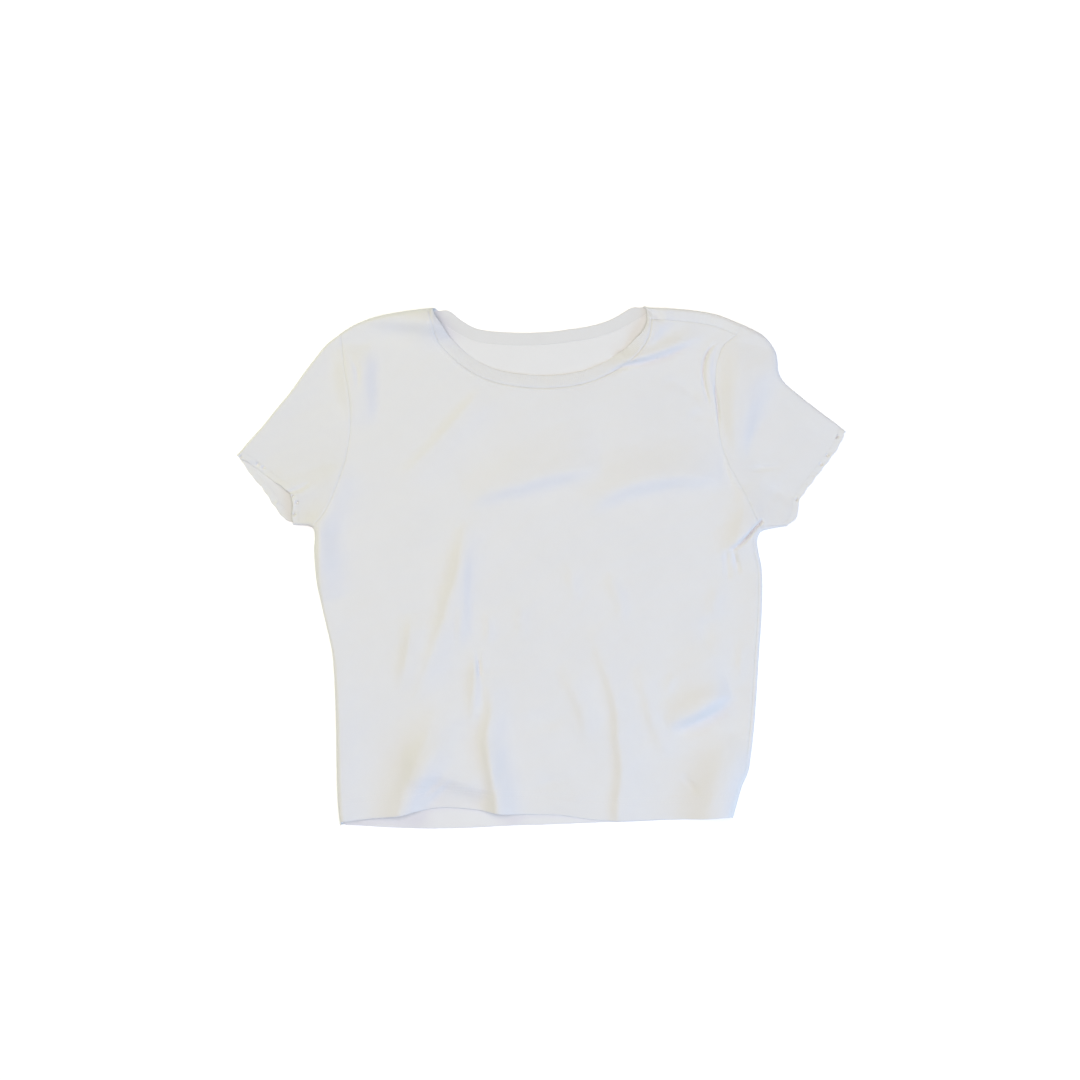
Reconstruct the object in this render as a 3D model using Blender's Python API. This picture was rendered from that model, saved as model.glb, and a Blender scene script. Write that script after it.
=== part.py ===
"""A child's cropped T-shirt in white cotton jersey, laid flat on its back panel.

The shirt lies in the XY plane with the neck towards +Y and the front panel on top, so the
wearer's right side is at -X and the wearer's left side at +X. The back panel's underside is
flat at z = 0. Each cut piece is a closed wall of cloth, 0.3 mm from the piece it is sewn to:
front, back, two sleeves, the ribbed neckband and a gathered edging round each cuff.

Sizes are in millimetres, and MM turns them into metres where a mesh is made. The cloth is
described by where it folds over (the fold lines round the silhouette), where it is sewn (the
seam lines) and how high the upper layer lies at each place (cloth_height).
"""

from collections import namedtuple

import bmesh
import bpy
import numpy as np

MM = 0.001

# Cloth and sewing
WALL = 1.1  # thickness of the jersey wall
SEAM_GAP = 0.3  # between two pieces that are sewn together
BAND_WIDTH = 10.5  # finished width of the ribbed neckband
BAND_FOLD_WIDTH = 8.5  # its width in plan where it folds over and stands up
BAND_FOLD_REACH = 9.0  # how far from the fold it widens out
EDGING_WIDTH = 5.5  # width of the gathered edging on each cuff
EDGING_PITCH = 11.5  # length of one wave of the edging
EDGING_WAVE = 1.3  # how far a wave stands out of the cloth's plane
EDGING_SCALLOP = 0.9  # how far a wave's crest reaches past its trough

# How the upper layer lies over the lower one
LYING_HEIGHT = 3.4  # top of the upper layer where nothing lifts it
LEAST_HEIGHT = 2 * WALL + 0.6  # two layers and the air between them
EDGE_SPRING = 1.0  # extra height beside a fold, where the cloth springs open
EDGE_SPRING_REACH = 12.0

# Where a side or shoulder seam lies: its distance in from the silhouette, on the upper side
SEAM_INSET = {"right": 1.3, "left": 3.5}
SHOULDER_INSET = {"right": 1.3, "left": 10.0}
CUFF_INSET = 1.5
FRONT_HEM_RISE = {"right": 3.2, "left": 0.5}  # how far up the side the front hem starts

# How finely each stretch is divided. Rows and columns lie closer beside a fold or a corner.
SIDE_SHARES = np.append(np.linspace(0, 0.94, 10), (0.965, 0.985, 1.0))
ARMHOLE_ROWS = 14
SHOULDER_COLUMNS = 6
NECK_COLUMNS = 20
SLEEVE_ROWS = 12
ROLL_STEPS = 5
BAND_ROWS = 2
BAND_STEP = 9.0
EDGING_ROWS = 2
EDGING_STEP = 2.4

CURVE_POINTS = 241  # points on a smooth curve
CURVE_STEPS = 24  # steps between two points of a table, before they are spaced evenly
CREASE_POINTS = 24  # points on the line of a fold
EVERY_FOURTH = 4  # points of the silhouette that distances are measured from
SLOPE_STEP = 0.4  # over which the slope of the cloth is measured
CREASE_ANGLE = 50  # degrees, above which an edge is shaded as a sharp one

STRIP_SHARES = np.linspace(0, 1, SHOULDER_COLUMNS + 1) ** 1.5
SLEEVE_SHARES = np.linspace(0, 1, SLEEVE_ROWS + 1)
WAVE_LEAN = np.array([0, 0, 1.2])

SIDES = ("right", "left")
OUTWARD = {"right": -1.0, "left": 1.0}

# Fold lines: the silhouette's folded edges, as points (x, y).
# The lower one runs from the hem up the side, round the underarm and out to the cuff.
LOWER_FOLD = {
    "right": (
        (-168.5, -216.3), (-170.2, -200), (-171.3, -175), (-171.8, -140), (-172.8, -105),
        (-174, -84), (-175.6, -69), (-178.7, -54.6), (-182.2, -40), (-185.2, -26),
        (-187.9, -13), (-189.4, 2), (-190, 15), (-189.5, 26), (-190.4, 32), (-194, 35),
        (-202.5, 35.8),
    ),
    "left": (
        (160.8, -210), (164.8, -196), (168.8, -182.5), (173.9, -171), (176.2, -157),
        (178.7, -135), (180.8, -108), (182.7, -75), (184.5, -50), (185.6, -28), (185.3, -2),
        (182.4, 13), (181.4, 23), (184, 29.8), (190, 32.2), (201, 34.3),
    ),
}
# The upper one runs from the cuff up the top of the sleeve and along the shoulder to the neck.
UPPER_FOLD = {
    "right": (
        (-251.5, 98.6), (-244.8, 106.7), (-232.8, 120), (-222, 133.5), (-210, 148),
        (-201, 160.7), (-190.8, 174.2), (-180.4, 187), (-170.5, 195), (-162, 201),
        (-152, 206.2), (-139.5, 210.5), (-125, 213.7), (-105, 216.7), (-94, 217.8),
    ),
    "left": (
        (251.4, 118), (247.4, 121.2), (231, 133.5), (214, 147), (203.8, 156),
        (199.2, 165), (198.4, 174), (196.2, 182.5), (187.8, 193.8), (175, 201.5),
        (161, 207.6), (147, 212.8), (127, 216.3), (106.5, 218), (93, 218.6),
    ),
}

# Seam lines on the upper layer, as points (x, y).
# Armholes run from the underarm up to the shoulder.
ARMHOLE = {
    "right": (
        (-182, 46), (-173, 64.5), (-165.5, 86.5), (-161, 107.5), (-160, 129.5),
        (-161.5, 147), (-164.5, 165), (-166.5, 182), (-167.5, 194.5),
    ),
    "left": (
        (180, 43), (172, 61), (163, 77), (155.5, 92), (150.5, 108), (148, 131),
        (146.5, 148), (146.5, 163), (148.5, 176), (153.5, 187), (161, 197), (168, 204),
    ),
}
BACK_ARMHOLE_BULGE = 5.0  # the back's armhole is cut this much less deep

# A table's points nearer to its seam's ends than this give way to the ends themselves.
CLEAR_OF_UNDERARM = 6.0
CLEAR_OF_SHOULDER = 5.0
CLEAR_OF_NECK_CORNER = 4.0

# Down each half of a panel one line of the grid runs from the neck corner to the hem.
GUIDE = ((108, -208), (114, -100), (119, 30), (121, 110), (117, 160), (107, 192))

# The neck seams run from the wearer's right shoulder to the left one.
FRONT_NECK = (
    (-94, 217), (-92.5, 206.5), (-88, 193), (-80.5, 183), (-69.5, 172.5), (-55.5, 163),
    (-38.5, 156), (-17.5, 152.2), (2, 151), (22, 152.2), (38.5, 155.5), (53, 161),
    (67, 168.5), (80.5, 179), (90, 193), (94, 206), (93, 217.5),
)
BACK_NECK = (
    (-94, 217.8), (-85, 208.5), (-73, 199), (-54, 190.2), (-24.5, 187.2), (3.5, 187.6),
    (24.5, 190), (45.5, 193.5), (62, 198.7), (78, 207), (93, 218.6),
)

# Hems run from the wearer's right side to the left one.
FRONT_HEM = (
    (-167.3, -212.8), (-146, -210.5), (-121, -208), (-108.5, -205), (-92.5, -202),
    (-77.5, -201), (-54, -203), (-34.5, -206), (-9, -207), (16, -207.5), (41, -211),
    (66, -212.3), (100, -211.2), (133.5, -210.2), (157.3, -209.5),
)
BACK_HEM = (
    (-168.5, -216.3), (-148, -216.5), (-125, -217.9), (-93, -218.8), (-59.5, -218.1),
    (-24, -216.3), (6, -215.4), (46, -213.8), (80, -212.8), (107, -211.5), (147, -210.4),
    (160.8, -210),
)

# Cuff seams, from the sleeve's top fold down to the underarm: upper layer, then lower layer.
UPPER_CUFF = {
    "right": ((-250, 97), (-239.7, 90.9), (-231.2, 84.4), (-222.5, 77.6), (-211.5, 70.5),
              (-204.5, 63), (-203, 52), (-203.5, 44), (-201.5, 36)),
    "left": ((249, 117), (242, 105.5), (233, 93), (222, 79), (213.5, 68), (208.8, 58),
             (208, 49.5), (205.5, 42.5), (201, 35)),
}
LOWER_CUFF = {
    "right": ((-250, 97), (-240.4, 83.2), (-229.1, 69.7), (-220.1, 56.2), (-210.6, 43.7),
              (-202.5, 36)),
    "left": ((249, 117), (244.2, 103.4), (235.2, 90.9), (224.2, 76.4), (215.7, 65),
             (211.2, 57), (210.5, 48.5), (207.3, 41.5), (201, 35)),
}

# Folds of the upper layer: a line of points (x, y), the height at its start, middle and end,
# and how far the cloth takes to fall on the left and on the right of the line.
Fold = namedtuple("Fold", "line start middle end left right")
FOLDS = (
    # rising from the hem
    Fold(((-109.5, -204), (-104, -180), (-92, -152), (-80, -125)), 7.5, 5.5, 0, 17, 10),
    Fold(((-33, -206), (-37, -170), (-44, -138), (-51, -100)), 6.5, 4.5, 1, 8, 9),
    Fold(((-82, -196), (-72, -186), (-62, -180)), 3, 2.5, 0, 9, 8),
    Fold(((72.5, -212), (72.5, -165), (67, -135), (58, -88), (47, -55)), 4, 4, 0, 7, 13),
    Fold(((143, -211), (147, -172), (153, -144)), 4.5, 4.5, 0, 15, 13),
    Fold(((-156, -200), (-160.5, -125), (-166, -55)), 2, 2.2, 0, 10, 19),
    # down the body
    Fold(((-62, 30), (-64.5, -8), (-72, -43), (-82, -78), (-90, -108)), 0, 3.4, 0, 8, 9),
    Fold(((-108, -33), (-112.5, -69), (-118, -106)), 0, 1.8, 0, 8, 8),
    Fold(((82, -80), (92.5, -117), (101, -150)), 0, 2.4, 0, 7, 10),
    Fold(((21, -82), (30.5, -112), (41, -138)), 0, 1.8, 0, 7, 10),
    Fold(((112, -124), (139, -119), (164, -101)), 0, 3.8, 1.5, 13, 7),
    Fold(((-53, 150), (-74, 123), (-96, 97), (-118, 73)), 0.6, 1.9, 0, 15, 6),
    # across the chest
    Fold(((-62, 56), (-24.5, 71), (8, 79), (52, 82.5)), 0, 3.2, 0, 13, 6),
    Fold(((46, 57), (75, 68), (104, 75), (146, 76)), 0, 3.2, 0, 13, 6),
    # under the arms
    Fold(((181.5, 34), (171, 24.5), (160, 16)), 3.5, 4, 0, 13, 3.5),
    Fold(((170, 62), (161, 34), (157, 6)), 2, 3, 0, 11, 8),
    Fold(((-180, 44), (-181.5, 8), (-176, -30)), 1.5, 2.6, 0, 7, 13),
    # along the shoulders and beside the neck
    Fold(((-136, 206), (-110, 208.5), (-90, 205)), 0.5, 4, 3.5, 10, 7),
    Fold(((84, 177), (103, 182.5), (128, 193)), 1.5, 3.2, 0, 11, 5),
    # where the sleeve heads stand up beside the armholes
    Fold(((-155, 192), (-152.5, 165), (-151, 134)), 2, 3, 0, 8, 9),
    Fold(((-180, 176), (-177, 150), (-176, 120)), 2.5, 3, 0, 13, 10),
    Fold(((175, 192), (169, 166), (165, 141), (164, 107)), 3, 5.5, 0, 11, 9),
    # on the sleeves
    Fold(((-208, 68), (-193, 74), (-172, 88)), 2.4, 1.2, 0, 8, 7),
    Fold(((-205, 52), (-195, 50), (-184, 56)), 2.5, 1, 0, 8, 7),
    Fold(((204, 52), (193, 62), (176, 80)), 2.5, 1.5, 0, 10, 10),
)
NECK_LIFTS = ((-88, 205, 4.0), (88, 206, 4.0))  # x, y and height where the neckband folds
NECK_LIFT_REACH = 15.0
CUFF_LIFT = 1.6  # how far each cuff's upper layer gapes
CUFF_LIFT_REACH = 34.0
CUFF_MIDDLE = {"right": (-220, 68), "left": (224, 80)}

JERSEY = (0.86, 0.865, 0.87)
RIB = (0.85, 0.855, 0.86)
EDGING = (0.88, 0.88, 0.88)
CLOTH_ROUGHNESS = 0.9

MIDDLE = np.array((0.465, -0.02, 0))  # the laid shirt's middle, which becomes the origin


# ---- curves in plan ---------------------------------------------------------------------


def lengths_along(points):
    steps = np.linalg.norm(np.diff(points, axis=0), axis=1)
    return np.concatenate([[0], np.cumsum(steps)])


def sampled(points, shares, values=None):
    """Points (or the values given for them) at shares of a polyline's length."""
    points = np.asarray(points, float)
    values = points if values is None else values
    along = lengths_along(points)
    places = np.asarray(shares) * along[-1]
    return np.stack([np.interp(places, along, axis) for axis in values.T], axis=1)


def spaced(points, count):
    """The polyline's points again, evenly spaced along it."""
    return sampled(points, np.linspace(0, 1, count))


def closer_at_ends(count, pull=0.7):
    """Shares from 0 to 1 that lie closer together at both ends."""
    even = np.linspace(0, 1, count + 1)
    return (1 - pull) * even + pull * (1 - np.cos(np.pi * even)) / 2


def smooth(points, count=CURVE_POINTS):
    """A smooth curve through the points (Catmull-Rom), evenly spaced."""
    points = np.asarray(points, float)
    padded = np.vstack([2 * points[0] - points[1], points, 2 * points[-1] - points[-2]])
    share = np.linspace(0, 1, CURVE_STEPS, endpoint=False)[:, None]
    pieces = []
    for before, start, end, after in zip(padded, padded[1:], padded[2:], padded[3:]):
        pieces.append(
            0.5 * (2 * start + (end - before) * share
                   + (2 * before - 5 * start + 4 * end - after) * share**2
                   + (3 * start - before - 3 * end + after) * share**3)
        )
    pieces.append(points[-1:])
    return spaced(np.vstack(pieces), count)


def unit(vectors):
    return vectors / np.linalg.norm(vectors, axis=-1, keepdims=True)


def left_normals(points):
    """Unit vectors to the left of a curve's direction."""
    along = unit(np.gradient(points, axis=0))
    return np.stack([-along[:, 1], along[:, 0]], axis=1)


def shifted(line, left):
    """The line moved to its left by a distance in plan."""
    return line + left_normals(line) * left


def nearest_on(line, x, y):
    """Signed distance to a polyline (positive on its left) and the share of its length."""
    steps = np.diff(line, axis=0)
    lengths = np.linalg.norm(steps, axis=1)
    starts = np.concatenate([[0], np.cumsum(lengths)])
    away = np.stack([x, y], axis=-1)[..., None, :] - line[:-1]
    share = np.clip((away * steps).sum(-1) / lengths**2, 0, 1)
    gaps = away - share[..., None] * steps
    distance = np.linalg.norm(gaps, axis=-1)
    best = distance.argmin(-1)[..., None]
    crossed = steps[:, 0] * away[..., 1] - steps[:, 1] * away[..., 0]
    sign = np.where(np.take_along_axis(crossed, best, -1) >= 0, 1.0, -1.0)
    along = starts[:-1] + share * lengths
    return (
        (np.take_along_axis(distance, best, -1) * sign)[..., 0],
        (np.take_along_axis(along, best, -1) / starts[-1])[..., 0],
    )


def coons(bottom, top, left, right, u, v):
    """A patch of plan points between four curves, at shares u across and v upwards.

    bottom and top run left to right, left and right run upwards.
    """
    u, v = u[None, :, None], v[:, None, None]
    across = (1 - v) * bottom[None] + v * top[None]
    upward = (1 - u) * left[:, None] + u * right[:, None]
    corners = (
        (1 - u) * (1 - v) * bottom[0] + u * (1 - v) * bottom[-1]
        + (1 - u) * v * top[0] + u * v * top[-1]
    )
    return across + upward - corners


# ---- how high the cloth lies ------------------------------------------------------------

LOWER_LINES = {side: smooth(LOWER_FOLD[side]) for side in SIDES}
UPPER_LINES = {side: smooth(UPPER_FOLD[side]) for side in SIDES}
FOLDED_EDGES = [
    line[::EVERY_FOURTH] for line in (*LOWER_LINES.values(), *UPPER_LINES.values())
]
CREASE_LINES = [smooth(fold.line, CREASE_POINTS) for fold in FOLDS]


def from_silhouette(x, y):
    """Distance to the nearest folded edge of the shirt."""
    return np.min([np.abs(nearest_on(line, x, y)[0]) for line in FOLDED_EDGES], axis=0)


def cloth_height(x, y):
    """Height of the upper layer's top side over the surface that the shirt lies on."""
    x, y = np.asarray(x, float), np.asarray(y, float)
    spring = np.exp(-((from_silhouette(x, y) / EDGE_SPRING_REACH) ** 2))
    height = LYING_HEIGHT + EDGE_SPRING * spring
    for fold, line in zip(FOLDS, CREASE_LINES):
        off, share = nearest_on(line, x, y)
        reach = np.where(off > 0, fold.left, fold.right)
        crest = np.interp(share, (0, 0.5, 1), (fold.start, fold.middle, fold.end))
        height += crest * np.exp(-((off / reach) ** 2))
    for lift_x, lift_y, lift in NECK_LIFTS:
        away = np.hypot(x - lift_x, y - lift_y)
        height += lift * np.exp(-((away / NECK_LIFT_REACH) ** 2))
    for middle in CUFF_MIDDLE.values():
        away = np.hypot(x - middle[0], y - middle[1])
        height += CUFF_LIFT * np.exp(-((away / CUFF_LIFT_REACH) ** 2))
    return np.maximum(height, LEAST_HEIGHT)


def upper_surface(plan):
    """Outer points and outward normals of the upper layer over plan points (..., 2)."""

    def level(x, y):
        height = cloth_height(x, y)
        radius = height / 2
        inward = np.clip(from_silhouette(x, y), 0, radius)
        return radius + np.sqrt(radius**2 - (radius - inward) ** 2)

    x, y = plan[..., 0], plan[..., 1]
    step = SLOPE_STEP
    slope_x = (level(x + step, y) - level(x - step, y)) / (2 * step)
    slope_y = (level(x, y + step) - level(x, y - step)) / (2 * step)
    normals = unit(np.stack([-slope_x, -slope_y, np.ones_like(slope_x)], axis=-1))
    return np.concatenate([plan, level(x, y)[..., None]], axis=-1), normals


def lower_surface(plan):
    """Outer points and outward normals of the lower layer, which lies flat."""
    flat = np.zeros(plan.shape[:-1] + (1,))
    down = np.zeros(plan.shape[:-1] + (3,))
    down[..., 2] = -1
    return np.concatenate([plan, flat], axis=-1), down


def roll_radius(edge):
    """Radius of the fold at silhouette points, half the height of the two layers there."""
    return cloth_height(*edge[0].T) / 2


def roll(edge, inset):
    """Cloth rolling round a folded edge, from the lower layer up to a seam on the upper one.

    edge is silhouette points with unit vectors into the shirt; inset is how far in from the
    silhouette the seam lies on top. Returns points and normals (n, steps + 1, 3).
    """
    line, inward = edge
    radius = roll_radius(edge)[:, None]
    quarter = radius * np.pi / 2
    inset = np.broadcast_to(np.reshape(inset, (-1, 1)), radius.shape)
    on_arc = np.arccos(np.clip(1 - inset / radius, -1, 1)) * radius
    end = np.where(inset < radius, on_arc, quarter + inset - radius)
    share = np.linspace(0, 1, ROLL_STEPS + 1)[None, :]
    travelled = -quarter + share * (end + quarter)
    angle = np.clip(travelled / radius, -np.pi / 2, np.pi / 2)
    beyond = np.maximum(travelled - quarter, 0)
    distance = radius * (1 - np.cos(angle)) + beyond
    plan = line[:, None] + inward[:, None] * distance[..., None]
    level = radius * (1 + np.sin(angle))
    out = -inward[:, None] * np.cos(angle)[..., None]
    normals = np.concatenate([out, np.sin(angle)[..., None]], axis=-1)
    on_top, slopes = upper_surface(plan)
    points = np.concatenate([plan, level[..., None]], axis=-1)
    flat_top = (beyond > 0)[..., None]
    return np.where(flat_top, on_top, points), np.where(flat_top, slopes, normals)


# ---- edges shared by neighbouring pieces ------------------------------------------------
#
# An edge is a stretch of a fold line: silhouette points and unit vectors into the shirt.


def place_along(line, point):
    """How far along a line its nearest point to the given one lies."""
    gaps = np.linalg.norm(line - np.array(point), axis=1)
    return lengths_along(line)[gaps.argmin()]


def edge_between(line, side, start, end, shares):
    """The edge from one distance along a fold line to another, at shares of that stretch."""
    places = (start + (end - start) * shares) / lengths_along(line)[-1]
    inward = left_normals(line) * OUTWARD[side]
    return sampled(line, places), unit(sampled(line, places, inward))


def side_edge(side):
    """From the hem up to the underarm seam."""
    line = LOWER_LINES[side]
    end = place_along(line, ARMHOLE[side][0]) - SEAM_GAP / 2
    return edge_between(line, side, 0, end, SIDE_SHARES)


def underarm_edge(side):
    """From the underarm seam out to the cuff."""
    line = LOWER_LINES[side]
    start = place_along(line, ARMHOLE[side][0]) + SEAM_GAP / 2
    return edge_between(line, side, start, lengths_along(line)[-1], SLEEVE_SHARES)


def shoulder_edge(side):
    """From the armhole seam to the neck."""
    line = UPPER_LINES[side]
    start = place_along(line, ARMHOLE[side][-1]) + SEAM_GAP / 2
    end = lengths_along(line)[-1] - SEAM_GAP / 2
    return edge_between(line, side, start, end, STRIP_SHARES)


def sleeve_top_edge(side):
    """From the armhole seam down to the cuff."""
    line = UPPER_LINES[side]
    start = place_along(line, ARMHOLE[side][-1]) - SEAM_GAP / 2
    return edge_between(line, side, start, 0, SLEEVE_SHARES)


def end_of(edge, index):
    """One end of an edge, as an edge of a single point."""
    line, inward = edge
    return line[[index]], inward[[index]]


def inset_points(edge, distance):
    line, inward = edge
    return line + inward * np.reshape(distance, (-1, 1))


def armhole_line(side, layer, toward_body):
    """The armhole seam on one layer, from its underarm end to its shoulder end.

    toward_body is how far the line is moved off the seam, into the panel or the sleeve.
    """
    under, tip = end_of(side_edge(side), -1), end_of(shoulder_edge(side), 0)
    if layer == "upper":
        start = inset_points(under, SEAM_INSET[side] + SEAM_GAP / 2)
        end = inset_points(tip, SHOULDER_INSET[side] + SEAM_GAP / 2)
    else:
        start = inset_points(under, roll_radius(under))
        end = inset_points(tip, roll_radius(tip))
    middle = np.array(ARMHOLE[side], float)
    share = lengths_along(middle) / lengths_along(middle)[-1]
    if layer == "lower":
        middle[:, 0] += OUTWARD[side] * BACK_ARMHOLE_BULGE * np.sin(np.pi * share)
    above = middle[:, 1] > start[0, 1] + CLEAR_OF_UNDERARM
    below = middle[:, 1] < end[0, 1] - CLEAR_OF_SHOULDER
    line = smooth(np.vstack([start, middle[above & below], end]))
    return sampled(shifted(line, toward_body * OUTWARD[side]), closer_at_ends(ARMHOLE_ROWS))


def neck_line(layer, toward_band):
    """A neck seam from the wearer's right shoulder seam to the left one."""
    table = np.array(FRONT_NECK if layer == "upper" else BACK_NECK, float)
    ends = []
    for side in SIDES:
        neck = end_of(shoulder_edge(side), -1)
        seam = SHOULDER_INSET[side] + SEAM_GAP / 2
        ends.append(inset_points(neck, seam if layer == "upper" else roll_radius(neck)))
    below = table[:, 1] < min(ends[0][0, 1], ends[1][0, 1]) - CLEAR_OF_NECK_CORNER
    line = smooth(np.vstack([ends[0], table[below], ends[1]]))
    return spaced(shifted(line, toward_band), NECK_COLUMNS + 1)


def panel_plan(hem, sides, shoulders, neck):
    """A body panel's grid of plan points: a strip under each shoulder, one under the neck."""
    both = [lengths_along(sides[side]) for side in SIDES]
    rows = sum(along / along[-1] for along in both) / 2
    guides, hem_splits = {}, {}
    for side, corner in zip(SIDES, (neck[0], neck[-1])):
        guide = np.array(GUIDE, float) * (OUTWARD[side], 1)
        nearest = np.abs(hem[:, 0] - guide[0, 0]).argmin()
        guide[0] = hem[nearest]
        hem_splits[side] = nearest
        guides[side] = sampled(smooth(np.vstack([guide, corner])), rows)
    left, right = hem_splits["right"], hem_splits["left"]
    first = coons(
        sampled(hem[: left + 1], STRIP_SHARES), np.vstack([shoulders["right"][:-1], neck[:1]]),
        sides["right"], guides["right"], STRIP_SHARES, rows,
    )
    even = np.linspace(0, 1, NECK_COLUMNS + 1)
    middle = coons(
        sampled(hem[left : right + 1], even), neck, guides["right"], guides["left"], even, rows
    )
    last = coons(
        sampled(hem[: right - 1 : -1], STRIP_SHARES),
        np.vstack([shoulders["left"][:-1], neck[-1:]]),
        sides["left"], guides["left"], STRIP_SHARES, rows,
    )
    return np.concatenate([first, middle[:, 1:], last[:, -2::-1]], axis=1)


# ---- meshes -----------------------------------------------------------------------------

Skirt = namedtuple("Skirt", "edge first last points normals")


def skirt_edges(bm, skirt, rows, columns, keys):
    """The boundary edges of the flat grid that a skirt hangs on."""
    row, column, ring = keys
    fixed, wanted, moving = {
        "left": (column, 0, row),
        "right": (column, columns - 1, row),
        "top": (row, rows - 1, column),
    }[skirt.edge]
    return [
        edge
        for edge in bm.edges
        if edge.is_boundary
        and all(
            v[ring] == 0 and v[fixed] == wanted and skirt.first <= v[moving] <= skirt.last
            for v in edge.verts
        )
    ]


def fabric(name, colour):
    material = bpy.data.materials.new(name)
    material.use_nodes = True
    shader = material.node_tree.nodes["Principled BSDF"]
    shader.inputs["Base Color"].default_value = (*colour, 1)
    shader.inputs["Roughness"].default_value = CLOTH_ROUGHNESS
    shader.inputs["Metallic"].default_value = 0.0
    return material


def cloth(name, points, normals, colour, skirts=()):
    """A wall of cloth over a grid of outer points, with rolled skirts on some of its edges.

    The sheet starts as a grid, each skirt is extruded from the grid's rim step by step, and
    the whole sheet is then extruded inwards by the wall's thickness.
    """
    rows, columns = points.shape[:2]
    bm = bmesh.new()
    bmesh.ops.create_grid(bm, x_segments=columns - 1, y_segments=rows - 1, size=1.0)
    keys = [bm.verts.layers.int.new(key) for key in ("row", "column", "ring")]
    row, column, ring = keys
    for v in bm.verts:
        v[row] = round((v.co.y + 1) / 2 * (rows - 1))
        v[column] = round((v.co.x + 1) / 2 * (columns - 1))
    outer = {}
    for i in range(rows):
        for j in range(columns):
            outer[i, j, 0] = points[i, j], normals[i, j]
    next_ring = 1
    for skirt in skirts:
        edges = skirt_edges(bm, skirt, rows, columns, keys)
        moving = column if skirt.edge == "top" else row
        for step in range(1, skirt.points.shape[1]):
            made = bmesh.ops.extrude_edge_only(bm, edges=edges)["geom"]
            new = {g for g in made if isinstance(g, bmesh.types.BMVert)}
            for v in new:
                v[ring] = next_ring
                place = v[moving] - skirt.first
                outer[v[row], v[column], next_ring] = (
                    skirt.points[place, step],
                    skirt.normals[place, step],
                )
            edges = [
                g
                for g in made
                if isinstance(g, bmesh.types.BMEdge) and all(v in new for v in g.verts)
            ]
            next_ring += 1
    for v in bm.verts:
        v.co = (outer[v[row], v[column], v[ring]][0] - MIDDLE) * MM
    made = bmesh.ops.extrude_face_region(bm, geom=bm.faces[:])["geom"]
    for v in made:
        if isinstance(v, bmesh.types.BMVert):
            point, normal = outer[v[row], v[column], v[ring]]
            v.co = (point - normal * WALL - MIDDLE) * MM
    bmesh.ops.recalc_face_normals(bm, faces=bm.faces[:])
    if bm.calc_volume(signed=True) < 0:
        bmesh.ops.reverse_faces(bm, faces=bm.faces[:])
    mesh = bpy.data.meshes.new(name)
    bm.to_mesh(mesh)
    bm.free()
    mesh.shade_smooth()
    mesh.set_sharp_from_angle(angle=np.radians(CREASE_ANGLE))
    mesh.materials.append(fabric(f"{name}_cloth", colour))
    piece = bpy.data.objects.new(name, mesh)
    bpy.data.collections["cropped_tshirt"].objects.link(piece)
    return piece


# ---- the pieces -------------------------------------------------------------------------


def make_front():
    """The front panel: the upper layer between the side, armhole, shoulder and neck seams."""
    half = SEAM_GAP / 2
    sides, shoulders = {}, {}
    for side in SIDES:
        edge = side_edge(side)
        seam = inset_points(edge, SEAM_INSET[side] + half)
        seam[0] = sampled(seam, [FRONT_HEM_RISE[side] / lengths_along(seam)[-1]])[0]
        armhole = armhole_line(side, "upper", half)
        sides[side] = np.vstack([seam[:-1], armhole])
        shoulders[side] = inset_points(shoulder_edge(side), SHOULDER_INSET[side] + half)
        shoulders[side][0] = armhole[-1]
    hem_points = np.array(FRONT_HEM, float)
    hem_points[0], hem_points[-1] = sides["right"][0], sides["left"][0]
    plan = panel_plan(smooth(hem_points), sides, shoulders, neck_line("upper", -half))
    return cloth("front", *upper_surface(plan), JERSEY)


def make_back():
    """The back panel: flat underneath, rolled up at the sides and over the shoulders."""
    half = SEAM_GAP / 2
    sides, shoulders, skirts = {}, {}, []
    columns = 2 * SHOULDER_COLUMNS + NECK_COLUMNS
    for side, name in zip(SIDES, ("left", "right")):
        edge = side_edge(side)
        armhole = armhole_line(side, "lower", half)
        sides[side] = np.vstack([inset_points(edge, roll_radius(edge))[:-1], armhole])
        skirts.append(Skirt(name, 0, len(SIDE_SHARES) - 1, *roll(edge, SEAM_INSET[side] - half)))
        edge = shoulder_edge(side)
        shoulders[side] = inset_points(edge, roll_radius(edge))
        shoulders[side][0] = armhole[-1]
        points, normals = roll(edge, SHOULDER_INSET[side] - half)
        if side == "right":
            skirts.append(Skirt("top", 0, SHOULDER_COLUMNS, points, normals))
        else:
            first = columns - SHOULDER_COLUMNS
            skirts.append(Skirt("top", first, columns, points[::-1], normals[::-1]))
    hem_points = np.array(BACK_HEM, float)
    hem_points[0], hem_points[-1] = sides["right"][0], sides["left"][0]
    plan = panel_plan(smooth(hem_points), sides, shoulders, neck_line("lower", -half))
    return cloth("back", *lower_surface(plan), JERSEY, skirts)


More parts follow.
